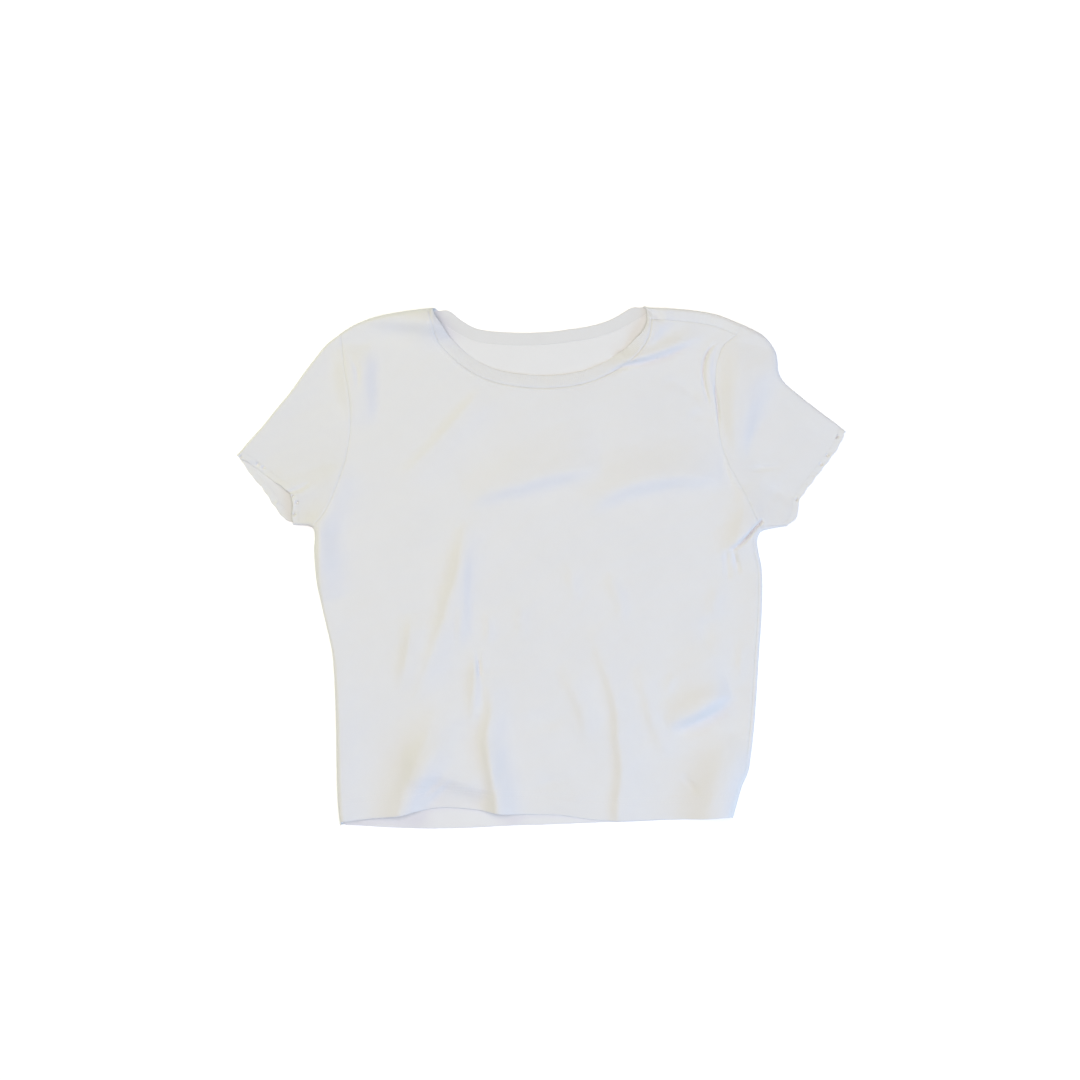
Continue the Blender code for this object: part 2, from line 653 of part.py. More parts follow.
def sleeve_sheet(side):
    """The sleeve as a grid from the armhole (row 0) to the cuff, round from seam to seam."""
    half = SEAM_GAP / 2
    under, over = underarm_edge(side), sleeve_top_edge(side)
    under_inset = np.interp(SLEEVE_SHARES, (0, 1), (SEAM_INSET[side], CUFF_INSET))
    over_inset = np.interp(SLEEVE_SHARES, (0, 1), (SHOULDER_INSET[side], CUFF_INSET))
    around = closer_at_ends(ARMHOLE_ROWS)
    layers = {}
    for layer, cuff in (("upper", UPPER_CUFF[side]), ("lower", LOWER_CUFF[side])):
        armhole = armhole_line(side, layer, -half)
        if layer == "upper":
            low = inset_points(under, under_inset + half)
            high = inset_points(over, over_inset)
        else:
            low = inset_points(under, roll_radius(under))
            high = inset_points(over, roll_radius(over))
        inner_cuff = np.array(cuff, float)[-2:0:-1]
        cuff_line = sampled(smooth(np.vstack([low[-1:], inner_cuff, high[-1:]])), around)
        low[0], high[0] = armhole[0], armhole[-1]
        layers[layer] = coons(armhole, cuff_line, low, high, around, SLEEVE_SHARES)
    upper, upper_normals = upper_surface(layers["upper"])
    lower, lower_normals = lower_surface(layers["lower"])
    over_roll, over_normals = roll(over, over_inset)
    under_roll, under_normals = roll(under, under_inset - half)
    points = (upper, over_roll[:, -2:0:-1], lower[:, ::-1], under_roll[:, 1:])
    normals = (upper_normals, over_normals[:, -2:0:-1], lower_normals[:, ::-1],
               under_normals[:, 1:])
    return np.concatenate(points, axis=1), np.concatenate(normals, axis=1)


def finer_places(ring, step):
    """Distances along a ring that keep its own points and divide what is longer than step."""
    along = lengths_along(ring)
    parts = [
        np.linspace(start, end, max(1, round((end - start) / step)), endpoint=False)
        for start, end in zip(along, along[1:])
    ]
    return np.append(np.concatenate(parts), along[-1])


def ribbon(ring, facing, reach, start, rows, step, wave=0.0, scallop=0.0):
    """A strip along a ring of points: outer points and normals (rows + 1, n, 3).

    reach is the way and the width from the seam to the free edge. A wave lifts the strip off
    the cloth's plane and lengthens it, more and more towards its free edge.
    """
    places = finer_places(ring, step)
    shares = places / places[-1]
    base = sampled(ring, shares)
    normal = unit(sampled(ring, shares, facing))
    reach = sampled(ring, shares, reach)
    width = np.linalg.norm(reach, axis=1)
    reach = unit(reach - (reach * normal).sum(1, keepdims=True) * normal)
    upward = unit(normal + WAVE_LEAN)
    phase = 2 * np.pi * round(places[-1] / EDGING_PITCH) * shares
    grid = []
    for share in np.linspace(0, 1, rows + 1):
        out = start + share * (width + scallop * np.cos(phase))
        lift = wave * share * (1 - np.cos(phase)) / 2
        grid.append(base + reach * out[:, None] + upward * lift[:, None])
    return np.array(grid), np.broadcast_to(normal, (rows + 1, *normal.shape))


def make_edging(side, sheet):
    """The gathered edging, which continues the cuff and ripples towards its free edge."""
    points, normals = sheet
    reach = unit(points[-1] - points[-2]) * EDGING_WIDTH
    grid, out = ribbon(
        points[-1], normals[-1], reach, SEAM_GAP, EDGING_ROWS, EDGING_STEP,
        EDGING_WAVE, EDGING_SCALLOP,
    )
    return cloth(f"sleeve_edging_{side}", grid, out, EDGING)


def band_reach(line):
    """Vectors from a neck seam to the band's free edge, level and short where it folds."""
    along = lengths_along(line)
    reach = left_normals(line) * BAND_WIDTH
    for fold, level in ((0, BAND_FOLD_WIDTH), (-1, -BAND_FOLD_WIDTH)):
        weight = np.exp(-(((along - along[fold]) / BAND_FOLD_REACH) ** 2))[:, None]
        reach = reach * (1 - weight) + weight * np.array([level, 1.0])
    return reach


def make_neckband():
    """The ribbed neckband: a strip round the neck seam, folded over at both shoulders."""
    half = SEAM_GAP / 2
    front_line, back_line = neck_line("upper", 0), neck_line("lower", 0)
    front_reach, back_reach = band_reach(front_line), band_reach(back_line)
    parts = [(*lower_surface(back_line), back_reach)]
    for side, end in zip(SIDES, (0, -1)):
        points, facing = roll(end_of(shoulder_edge(side), -1), SHOULDER_INSET[side])
        share = np.linspace(0, 1, ROLL_STEPS + 1)[1:-1, None]
        reach = back_reach[end] * (1 - share) + front_reach[end] * share
        parts.append((points[0, 1:-1], facing[0, 1:-1], reach))
    parts.append((*upper_surface(front_line), front_reach))
    middle = NECK_COLUMNS // 2
    rings = [
        np.vstack([lower[middle::-1], right, upper, left[::-1], lower[: middle - 1 : -1]])
        for lower, right, left, upper in zip(*parts)
    ]
    ring, facing, reach = rings
    ring[0, 0] -= half
    ring[-1, 0] += half
    grid, out = ribbon(ring, facing, np.pad(reach, ((0, 0), (0, 1))), half, BAND_ROWS, BAND_STEP)
    return cloth("neckband", grid, out, RIB)


def main():
    for obj in list(bpy.data.objects):
        bpy.data.objects.remove(obj)
    collection = bpy.data.collections.new("cropped_tshirt")
    bpy.context.scene.collection.children.link(collection)
    make_back()
    make_front()
    for side in SIDES:
        sheet = sleeve_sheet(side)
        cloth(f"sleeve_{side}", *sheet, JERSEY)
        make_edging(side, sheet)
    make_neckband()


main()
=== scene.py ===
# %% [markdown]
# # A child's cropped T-shirt, laid flat
#
# The shirt lies on its back panel with the front on top and the neck towards +Y. A packed
# model with plain solid walls of cloth is loaded first, and it gives every piece its place.
# Each piece is then made again as thin cloth, with its own folds, seams, hems and knit.
# A sheet of cloth is a grid of points, so most of this lesson decides where the points lie.

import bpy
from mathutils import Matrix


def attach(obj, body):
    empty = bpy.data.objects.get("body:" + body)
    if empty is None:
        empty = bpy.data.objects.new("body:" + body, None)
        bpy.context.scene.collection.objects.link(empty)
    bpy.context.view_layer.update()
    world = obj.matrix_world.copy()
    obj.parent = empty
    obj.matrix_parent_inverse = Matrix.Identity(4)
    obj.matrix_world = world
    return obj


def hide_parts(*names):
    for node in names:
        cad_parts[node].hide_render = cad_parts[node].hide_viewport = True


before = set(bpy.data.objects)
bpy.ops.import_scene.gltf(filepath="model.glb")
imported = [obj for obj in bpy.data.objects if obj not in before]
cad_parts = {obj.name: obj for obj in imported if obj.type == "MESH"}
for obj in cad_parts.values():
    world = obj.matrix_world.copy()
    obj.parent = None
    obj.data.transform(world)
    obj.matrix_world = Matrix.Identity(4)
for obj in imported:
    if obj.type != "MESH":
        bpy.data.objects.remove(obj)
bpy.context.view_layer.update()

from collections import namedtuple

import bmesh
import bpy
import numpy as np

bpy.ops.object.select_all(action="DESELECT")

# %% [markdown]
# ## The camera
#
# The photograph looks straight down. One of its pixels covers 0.84 mm, so the whole frame
# is 907 mm wide on the cloth. A long lens from two metres keeps the sides from leaning.

# %% Camera
MM = 0.001
FRAME_WIDTH = 907.2 * MM
AIM = (-1.3 * MM, 23.5 * MM)
LENS, SENSOR = 85.0, 36.0

camera_data = bpy.data.cameras.new("camera")
camera_data.lens = LENS
camera_data.sensor_width = SENSOR
camera = bpy.data.objects.new("camera", camera_data)
bpy.context.scene.collection.objects.link(camera)
camera.location = (*AIM, FRAME_WIDTH * LENS / SENSOR)
bpy.context.scene.camera = camera
print("camera height:", round(camera.location.z, 3), "m")

# %% [markdown]
# ## Floor and light
#
# White cloth only shows its folds if light reaches it from several sides in slightly
# different colours. A warm panel stands to the left and a cool one to the right, so a slope
# that turns from one of them takes the other's tint. A large neutral panel hangs overhead.


# %% Light panels and world
def light_panel(name, place, size, power, colour):
    """An area light that looks at the middle of the shirt."""
    data = bpy.data.lights.new(name, "AREA")
    data.shape = "RECTANGLE"
    data.size, data.size_y = size
    data.energy = power
    data.color = colour
    panel = bpy.data.objects.new(name, data)
    bpy.context.scene.collection.objects.link(panel)
    panel.location = place
    panel.rotation_euler = (-panel.location).to_track_quat("-Z", "Y").to_euler()


light_panel("warm_panel", (-1.45, 1.0, 0.85), (1.2, 0.9), 11, (0.88, 1.0, 0.52))
light_panel("cool_panel", (1.45, -1.0, 0.85), (1.2, 0.9), 17.5, (0.35, 0.66, 1.0))
light_panel("overhead_panel", (0.0, 0.0, 2.7), (2.4, 2.4), 61.1, (1.0, 0.899, 0.902))

WORLD_LIGHT = 0.13  # fills the shadows a little from all round
world = bpy.data.worlds.new("studio")
bpy.context.scene.world = world
world.use_nodes = True
background = world.node_tree.nodes["Background"]
background.inputs["Color"].default_value = (1, 1, 1, 1)
background.inputs["Strength"].default_value = WORLD_LIGHT
bpy.context.scene.view_settings.view_transform = "Standard"
print("lights:", [light.name for light in bpy.data.lights])

# %% Floor
FLOOR_SIZE = 40  # metres, so that its edge lies behind the horizon in a low view
FLOOR_DROP = 0.4 * MM  # keeps the floor clear of the cloth's underside
bpy.ops.mesh.primitive_plane_add(size=FLOOR_SIZE, location=(0, 0, -FLOOR_DROP))
floor = bpy.context.object
floor.name = "floor"
bpy.ops.object.transform_apply(location=True)
print("floor:", FLOOR_SIZE, "m wide")

# %% [markdown]
# ## The lines of the shirt
#
# A laid shirt is described by a few lines, in millimetres from the middle of the drawing.
# Fold lines are where the cloth turns over at the silhouette. Seam lines are where two
# pieces are sewn together. Hems and cuffs are where a piece ends.

# %% Fold lines
SIDES = ("right", "left")
OUTWARD = {"right": -1.0, "left": 1.0}
MIDDLE = np.array((0.465, -0.02, 0))  # the drawing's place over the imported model's origin

LOWER_FOLD = {
    "right": (
        (-168.5, -216.3), (-170.2, -200), (-171.3, -175), (-171.8, -140), (-172.8, -105),
        (-174, -84), (-175.6, -69), (-178.7, -54.6), (-182.2, -40), (-185.2, -26),
        (-187.9, -13), (-189.4, 2), (-190, 15), (-189.5, 26), (-190.4, 32), (-194, 35),
        (-202.5, 35.8),
    ),
    "left": (
        (160.8, -210), (164.8, -196), (168.8, -182.5), (173.9, -171), (176.2, -157),
        (178.7, -135), (180.8, -108), (182.7, -75), (184.5, -50), (185.6, -28), (185.3, -2),
        (182.4, 13), (181.4, 23), (184, 29.8), (190, 32.2), (201, 34.3),
    ),
}
UPPER_FOLD = {
    "right": (
        (-251.5, 98.6), (-244.8, 106.7), (-232.8, 120), (-222, 133.5), (-210, 148),
        (-201, 160.7), (-190.8, 174.2), (-180.4, 187), (-170.5, 195), (-162, 201),
        (-152, 206.2), (-139.5, 210.5), (-125, 213.7), (-105, 216.7), (-94, 217.8),
    ),
    "left": (
        (251.4, 118), (247.4, 121.2), (231, 133.5), (214, 147), (203.8, 156),
        (199.2, 165), (198.4, 174), (196.2, 182.5), (187.8, 193.8), (175, 201.5),
        (161, 207.6), (147, 212.8), (127, 216.3), (106.5, 218), (93, 218.6),
    ),
}

# %% Seam lines, hems and cuffs
ARMHOLE = {
    "right": (
        (-182, 46), (-173, 64.5), (-165.5, 86.5), (-161, 107.5), (-160, 129.5),
        (-161.5, 147), (-164.5, 165), (-166.5, 182), (-167.5, 194.5),
    ),
    "left": (
        (180, 43), (172, 61), (163, 77), (155.5, 92), (150.5, 108), (148, 131),
        (146.5, 148), (146.5, 163), (148.5, 176), (153.5, 187), (161, 197), (168, 204),
    ),
}
BACK_ARMHOLE_BULGE = 5.0  # the back's armhole is cut this much less deep
GUIDE = (  # runs up each panel from the hem to the corner of its neck
    (108, -208), (114, -100), (119, 30), (121, 110), (117, 160), (107, 192),
)
FRONT_NECK = (
    (-94, 217), (-92.5, 206.5), (-88, 193), (-80.5, 183), (-69.5, 172.5), (-55.5, 163),
    (-38.5, 156), (-17.5, 152.2), (2, 151), (22, 152.2), (38.5, 155.5), (53, 161),
    (67, 168.5), (80.5, 179), (90, 193), (94, 206), (93, 217.5),
)
BACK_NECK = (
    (-94, 217.8), (-85, 208.5), (-73, 199), (-54, 190.2), (-24.5, 187.2), (3.5, 187.6),
    (24.5, 190), (45.5, 193.5), (62, 198.7), (78, 207), (93, 218.6),
)
FRONT_HEM = (
    (-167.3, -212.8), (-146, -210.5), (-121, -208), (-108.5, -205), (-92.5, -202),
    (-77.5, -201), (-54, -203), (-34.5, -206), (-9, -207), (16, -207.5), (41, -211),
    (66, -212.3), (100, -211.2), (133.5, -210.2), (157.3, -209.5),
)
BACK_HEM = (
    (-168.5, -216.3), (-148, -216.5), (-125, -217.9), (-93, -218.8), (-59.5, -218.1),
    (-24, -216.3), (6, -215.4), (46, -213.8), (80, -212.8), (107, -211.5), (147, -210.4),
    (160.8, -210),
)
UPPER_CUFF = {
    "right": ((-250, 97), (-239.7, 90.9), (-231.2, 84.4), (-222.5, 77.6), (-211.5, 70.5),
              (-204.5, 63), (-203, 52), (-203.5, 44), (-201.5, 36)),
    "left": ((249, 117), (244.2, 103.4), (235.2, 90.9), (224.2, 76.4), (215.7, 65),
             (211.2, 57), (210.5, 48.5), (207.3, 41.5), (201, 35)),
}
LOWER_CUFF = {
    "right": ((-250, 97), (-240.4, 83.2), (-229.1, 69.7), (-220.1, 56.2), (-210.6, 43.7),
              (-202.5, 36)),
    "left": ((249, 117), (242, 105.5), (233, 93), (222, 79), (213.5, 68), (208.8, 58),
             (208, 49.5), (205.5, 42.5), (201, 35)),
}

# %% Where the seams lie, measured in from the silhouette
SEAM_GAP = 0.08  # open slit between two sewn pieces
SEAM_INSET = {"right": 1.3, "left": 3.5}
SHOULDER_INSET = {"right": 1.3, "left": 10.0}
CUFF_INSET = 1.5
FRONT_HEM_RISE = {"right": 3.2, "left": 0.5}
TABLE_CLEARANCE = {"underarm": 6, "shoulder": 5, "neck": 4}  # left free beside a shared end

# %% [markdown]
# ## Working with lines
#
# A few points are enough to draw a seam if a smooth curve runs through them. The helpers
# below draw that curve, walk along it by length, shift it sideways, and tell how far any
# place on the shirt is from it.


# %% Helpers for lines
def lengths_along(points):
    steps = np.linalg.norm(np.diff(points, axis=0), axis=1)
    return np.concatenate([[0], np.cumsum(steps)])


def sampled(points, shares, values=None):
    """Points (or the values given for them) at shares of a line's length."""
    points = np.asarray(points, float)
    values = points if values is None else values
    along = lengths_along(points)
    places = np.asarray(shares) * along[-1]
    return np.stack([np.interp(places, along, axis) for axis in values.T], axis=1)


def spaced(points, count):
    return sampled(points, np.linspace(0, 1, count))


def closer_at_ends(count, pull=0.7):
    """Shares from 0 to 1 that lie closer together at both ends."""
    even = np.linspace(0, 1, count + 1)
    return (1 - pull) * even + pull * (1 - np.cos(np.pi * even)) / 2


SPAN_STEPS = 24  # between two of the points that a curve runs through


def smooth(points, count=241):
    """A smooth curve through the points (Catmull-Rom), evenly spaced."""
    points = np.asarray(points, float)
    padded = np.vstack([2 * points[0] - points[1], points, 2 * points[-1] - points[-2]])
    share = np.linspace(0, 1, SPAN_STEPS, endpoint=False)[:, None]
    pieces = []
    for before, start, end, after in zip(padded, padded[1:], padded[2:], padded[3:]):
        bend = 2 * before - 5 * start + 4 * end - after
        swing = 3 * start - before - 3 * end + after
        pieces.append(
            0.5 * (2 * start + (end - before) * share + bend * share**2 + swing * share**3)
        )
    pieces.append(points[-1:])
    return spaced(np.vstack(pieces), count)


def unit(vectors):
    return vectors / np.linalg.norm(vectors, axis=-1, keepdims=True)


def left_normals(points):
    along = unit(np.gradient(points, axis=0))
    return np.stack([-along[:, 1], along[:, 0]], axis=1)


def shifted(line, left):
    return line + left_normals(line) * left


def nearest_on(line, x, y):
    """Signed distance to a line (positive on its left) and the share of its length."""
    x, y = np.asarray(x, float), np.asarray(y, float)
    best = np.full(x.shape, np.inf)
    sign, along = np.ones(x.shape), np.zeros(x.shape)
    walked = lengths_along(line)
    for start, end, behind in zip(line, line[1:], walked):
        step = end - start
        length = np.hypot(*step)
        away_x, away_y = x - start[0], y - start[1]
        share = np.clip((away_x * step[0] + away_y * step[1]) / length**2, 0, 1)
        gap = np.hypot(away_x - share * step[0], away_y - share * step[1])
        nearer = gap < best
        best = np.where(nearer, gap, best)
        crossed = step[0] * away_y - step[1] * away_x
        sign = np.where(nearer, np.where(crossed >= 0, 1.0, -1.0), sign)
        along = np.where(nearer, behind + share * length, along)
    return best * sign, along / walked[-1]


def coons(bottom, top, left, right, u, v):
    """A patch of plan points between four curves, at shares u across and v upwards."""
    u, v = u[None, :, None], v[:, None, None]
    across = (1 - v) * bottom[None] + v * top[None]
    upward = (1 - u) * left[:, None] + u * right[:, None]
    low = (1 - u) * bottom[0] + u * bottom[-1]
    high = (1 - u) * top[0] + u * top[-1]
    return across + upward - (1 - v) * low - v * high


LOWER_LINES = {side: smooth(LOWER_FOLD[side]) for side in SIDES}
UPPER_LINES = {side: smooth(UPPER_FOLD[side]) for side in SIDES}
# every fourth point is enough to measure a distance from
FOLD_LINES = [line[::4] for line in (*LOWER_LINES.values(), *UPPER_LINES.values())]
print("side fold:", round(lengths_along(LOWER_LINES["left"])[-1]), "mm long")

# %% [markdown]
# ## How high the cloth lies
#
# Jersey that is laid down by hand keeps soft ridges. Each is drawn as a line with a few
# heights along it, and for each side how far the cloth takes to fall (at the line's start
# and end) and how it falls: 1.5 is a sharp crest, 2 is a bell, and 3 is a flat top with a
# steep edge. Broad ridges come first, then the small creases, some of them hollows.

# %% How a fold is written down
Fold = namedtuple("Fold", "line heights left right")


def fall(side):
    """Start, end and power of a side; a plain number is a bell that is as wide all along."""
    return (side, side, 2) if isinstance(side, (int, float)) else side


def crease(line, heights, left, right=None):
    """A fold; one height is that of its middle, and without a right side both are alike."""
    if isinstance(heights, (int, float)):
        heights = (0, heights, 0)
    return Fold(line, heights, fall(left), fall(left if right is None else right))


# %% Broad folds
BROAD_FOLDS = [crease(*row) for row in (
    # rising from the hem
    (((-119.5, -210), (-115, -190.5), (-107.5, -169.5), (-98.5, -148.5), (-90.5, -127.5),
     (-87.5, -114), (-84, -101)), (8.8, 8.8, 8.2, 6.4, 4, 2, 0), (14.5, 13, 1.3), (14, 25, 3)),
    (((-115, -174.5), (-98.5, -173), (-84, -172), (-69.5, -177), (-54.5, -181.5), (-38, -186.5)),
     (0, 5, 7, 6.2, 4.8, 0), 26, (11, 8.5, 2)),
    (((-37, -206.5), (-38, -190.5), (-40.5, -174), (-43.5, -159), (-45.5, -140.5), (-42, -121),
     (-43.5, -106.5), (-48.5, -84)), (8.8, 8.8, 7.8, 6.6, 4.9, 3.5, 2.3, 0), (6.8, 4.5, 1.5),
     (13.5, 12, 2)),
    (((64, -210), (64.5, -193), (67, -176.5), (67, -161.5), (64.5, -144.5), (64, -127.5),
     (61.5, -111), (56.5, -94), (50.5, -77.5), (46, -62), (41, -48)),
     (3.4, 3.4, 3.5, 3.6, 3.6, 3.4, 3.2, 2.8, 2, 1.2, 0), (4.6, 3.8, 1.5), (18, 15, 1.6)),
    (((143, -210), (145.5, -191.5), (150.5, -171.5), (156, -154.5), (163, -139.5)),
     (11, 10.7, 9.3, 5.5, 0), (20, 17, 1.8), (22, 16, 2.6)),
    (((104, -131), (116, -125), (127.5, -120), (138.5, -113.5), (148.5, -106.5), (159, -101)),
     (0, 4.6, 6.2, 7, 5.2, 0), (15, 15, 1.8), (7.6, 8.2, 2.4)),
    (((110, -97.5), (125, -87.5), (143.5, -77.5), (163, -69)), (0, 1.9, 2.4, 0), 16, 20),
    (((-169.5, -206.5), (-169.5, -161.5), (-170.5, -111), (-172, -69)), (4.4, 4.2, 3, 0), 5,
     (24, 24, 1.8)),
    # down the body
    (((-57, -134.5), (-57, -111), (-55.5, -90), (-54.5, -69)), (0, 2.4, 2.9, 0), (4.5, 4.5, 1.5),
     6),
    (((-119.5, -102.5), (-116, -90), (-112.5, -73), (-110, -56.5), (-109, -38)),
     (0, 2.6, 3, 2.6, 0), (5, 5, 1.5), 18),
    (((-106, -115), (-98.5, -94), (-91.5, -73), (-85.5, -55.5), (-80.5, -40.5), (-77.5, -27),
     (-74, -17), (-70.5, -5), (-68, 8.5), (-65.5, 23.5), (-61.5, 40.5)),
     (0, 1.2, 2.2, 2.9, 3.3, 3.6, 3.8, 3.8, 3.5, 2.6, 0), (6, 6, 1.6), (15, 12, 2)),
    (((-62, -64.5), (-63, -43.5), (-64, -22.5), (-64, -1.5), (-63, 19.5)), (0, 1.3, 1.7, 1.7, 0),
     14, (3.2, 3.2, 1.5)),
    (((40.5, -146), (37, -129.5), (32, -114), (25, -97.5), (17, -80.5)), (0, 1.8, 2, 1.6, 0),
     (5, 5, 1.8), 11),
    (((108.5, -159.5), (100, -144.5), (93, -127.5), (90, -113.5), (85.5, -98.5), (80, -80)),
     (0, 1.6, 2, 2, 1.5, 0), (4.5, 4.5, 1.7), 12),
    (((-117, 74), (-106, 85.5), (-93, 98.5), (-80.5, 112.5), (-69.5, 126), (-58, 139.5),
     (-48.5, 152)), (0, 1.5, 2.1, 2.4, 2.4, 2, 0), (5, 5, 1.6), 18),
    # across the chest
    (((-63, 56.5), (-43, 64.5), (-22, 70.5), (-1, 76.5), (16, 80.5), (33, 83), (51, 84)),
     (0, 3.4, 4.8, 5.1, 4.8, 3.4, 0), (22, 22, 1.7), (8, 8, 2.2)),
    (((37, 51), (49.5, 59.5), (66.5, 68), (87.5, 74), (108.5, 77.5), (129.5, 78), (152, 77.5)),
     (0, 3.4, 5.3, 5.8, 5.6, 4.1, 0), (20, 20, 1.7), (8.5, 8.5, 2.2)),
    # under the arms
    (((154.5, 13.5), (161.5, 22.5), (169, 31), (177, 40.5)), (0.8, 1.2, 1.2, 0.8), (10, 10, 1.6),
     7),
    (((158, 3.5), (163, 19.5), (167, 33.5), (170.5, 50.5), (168, 69)), (0, 3, 3.6, 2.6, 0),
     (9, 9, 1.5), 18),
    (((-176.5, -27), (-181.5, -6), (-185.5, 15), (-185.5, 30), (-180, 44.5), (-169, 65.5),
     (-162, 82.5)), (0, 4.6, 8, 7, 4.6, 2.6, 0), 13, (15, 12, 1.8)),
    # along the shoulders and beside the neck
    (((-150.5, 211), (-131, 210), (-114, 209), (-97.5, 207.5), (-80, 205)),
     (0, 3.4, 5.1, 5.9, 5.4), 14, (8.5, 10, 2.4)),
    (((53, 165.5), (70.5, 173), (89, 177.5), (105, 183), (121, 190), (135, 197.5)),
     (0, 3.2, 4.2, 3.8, 2.4, 0), 8, (3.2, 3.6, 2)),
    (((78, 182.5), (90, 190.5), (99, 201), (104, 210)), (0, 1.5, 2.2, 1.4), 13, (4, 4.4, 2.2)),
    # where the sleeve heads stand up beside the armholes
    (((-148.5, 120), (-150.5, 137), (-153.5, 153.5), (-154.5, 170.5), (-154.5, 187.5)),
     (0, 3.4, 4.8, 4.4, 0), (13, 17, 3), (9, 15, 3.4)),
    (((152, 191.5), (145.5, 186.5), (142, 176.5), (141, 163), (143, 149.5), (146, 138)),
     (0, 1, 1.5, 1.6, 1.3, 0), 3, 5),
    (((168, 92.5), (165.5, 114), (165.5, 134.5), (168, 153.5), (171.5, 173), (174, 187.5)),
     (0, 3.4, 5, 5.4, 4.8, 1.8), (6, 20, 2.8), (5, 31, 3)),
    # on the sleeve
    (((-209, 63), (-194, 68), (-181.5, 74), (-169, 82.5), (-159, 91.5)), (2.4, 3, 3.4, 2.8, 0),
     (13, 11, 1.5), 16),
)]

# %% Small creases
SMALL_CREASES = [crease(*row) for row in (
    (((-98.5, -195.5), (-87.5, -185.5), (-75.5, -175.5)), (0.6, 1.7, 0), (2.4, 2.4, 1.6), 2.6),
    (((-51, -98.5), (-52, -84), (-54, -67)), -2.4, 1.6),
    (((-69, -70.5), (-68, -45.5), (-66.5, -25)), 1.3, (3, 3, 1.5), 5),
    (((-45.5, -67), (-44.5, -52), (-46, -35.5)), 1.3, (3, 3, 1.5), 5),
    (((-17, -62), (-17.5, -43.5), (-19.5, -27)), 1, (4, 4, 1.5), 6),
    (((105, -108.5), (107.5, -97.5), (111, -87.5)), 1, (3.5, 3.5, 1.5), 5),
    (((117, -173), (124.5, -180.5), (132.5, -189)), -1.8, 2.4, 2.2),
    (((142, -45.5), (144.5, -31), (148, -8.5)), 1.5, (5, 5, 1.5), 8),
    (((166.5, -97.5), (167, -77.5), (168, -59)), 1.4, (4, 4, 1.5), 6),
    (((29.5, -30), (26, -12.5), (22.5, 6)), 1.3, (4, 4, 1.5), 6),
    (((69.5, -47), (66.5, -31), (61.5, -18.5), (55.5, -2.5)), (0, 1.7, 1.7, 0), (4.5, 4.5, 1.5),
     6),
    (((156, 12.5), (156, 1.5), (158, -12)), (-1.5, -2.4, 0), 1.6),
    (((161.5, 14.5), (164, 4), (167, -6.5)), (-1.5, -2.2, 0), 1.6),
    (((185, 39), (179, 33), (169.5, 22.5), (160.5, 15.5)), (-2.5, -4, -3.8, -1.5), 1.2),
    (((54, 162), (70.5, 169.5), (90, 174), (106, 179), (123.5, 186.5)), (0, -2.6, -3.2, -2.6, 0),
     1.6, 2.1),
    (((89, 217.5), (96.5, 212.5), (105, 204)), (-1, -2.4, 0), 3),
    (((-253, 93), (-237.5, 84), (-223.5, 74), (-214, 65.5)), (-0.6, -1.4, -1.6, 0), 8),
    (((-153.5, 149.5), (-154.5, 166.5), (-161.5, 179)), -1.4, 2, 1.8),
    (((149, 121), (148.5, 131), (147, 144.5), (145.5, 156)), (0, -3.4, -3.4, 0), 0.9, 1),
    (((149.5, 190.5), (143, 185), (138, 176.5), (136, 164), (138, 149.5), (142, 137)),
     (0, -1.6, -2.3, -2.5, -2.1, 0), 1),
    (((170.5, 82.5), (185.5, 83.5), (202.5, 84)), -1.1, 2.2, 1.4),
    (((184, 70.5), (199, 64), (212.5, 58)), (0, -1.4, -0.8), 6),
    (((101.5, 158), (118.5, 153), (136, 138.5)), -1.5, 3.6),
    (((123.5, 126), (133.5, 128.5), (145.5, 123.5)), -1.1, 4),
    (((151, 97.5), (157, 78), (166.5, 58)), -1, 2.2, 5),
    (((-207.5, 64.5), (-201.5, 66.5), (-193, 71.5)), (-1.3, -1.3, 0), 2),
    (((-4, -171.5), (12, -183), (27.5, -195)), -1.4, 6),
    (((-12, -122.5), (3.5, -128.5), (18.5, -133.5)), -1.1, 6),
    (((139.5, -73), (138.5, -54), (143.5, -37)), -1, 6),
    (((110, -135), (125, -134.5), (140.5, -127), (157, -117)), (0, -2.3, -2.2, 0), 4, 6),
)]
FOLDS = (*BROAD_FOLDS, *SMALL_CREASES)
CREASE_LINES = [smooth(fold.line, 20) for fold in FOLDS]


def crest_table(heights):
    """The heights along a fold as a smooth curve of (share of its length, height)."""
    shares = np.linspace(0, 1, len(heights))
    table = smooth(np.stack([shares * 100, heights], axis=1), 120)
    return table / (100, 1)


CRESTS = [crest_table(fold.heights) for fold in FOLDS]
print(len(BROAD_FOLDS), "broad folds and", len(SMALL_CREASES), "small creases")

# %% [markdown]
# ## The height at any place
#
# Two thicknesses of cloth and the air between them lie about 2.5 mm high. Beside a fold
# the cloth springs open a little, and the neckband and the cuffs stand up at their ends.
# A slow unevenness keeps the plain parts from looking ironed.

# %% Heights
LYING_HEIGHT = 2.5
LEAST_HEIGHT, LEAST_AT_HEM = 1.4, 2.8  # two walls of cloth, or the two doubled hems
HEM_LIFT, HEM_LIFT_REACH = 0.7, 26.0  # the doubled hems lie higher
HEM_LIMIT_POWER = 8  # and end as sharply as this
EDGE_SPRING, EDGE_SPRING_REACH = 1.7, 14.0  # beside a fold the cloth springs open
NECK_LIFTS = ((-94, 204, 4.0), (77, 201, 3.3))  # x, y and height
NECK_LIFT_REACH = 15.0
CUFF_MIDDLE = {"right": (-220, 68), "left": (224, 80)}
CUFF_LIFT, CUFF_LIFT_REACH = 0.7, 34.0
HEM_LINE = smooth(FRONT_HEM, 40)
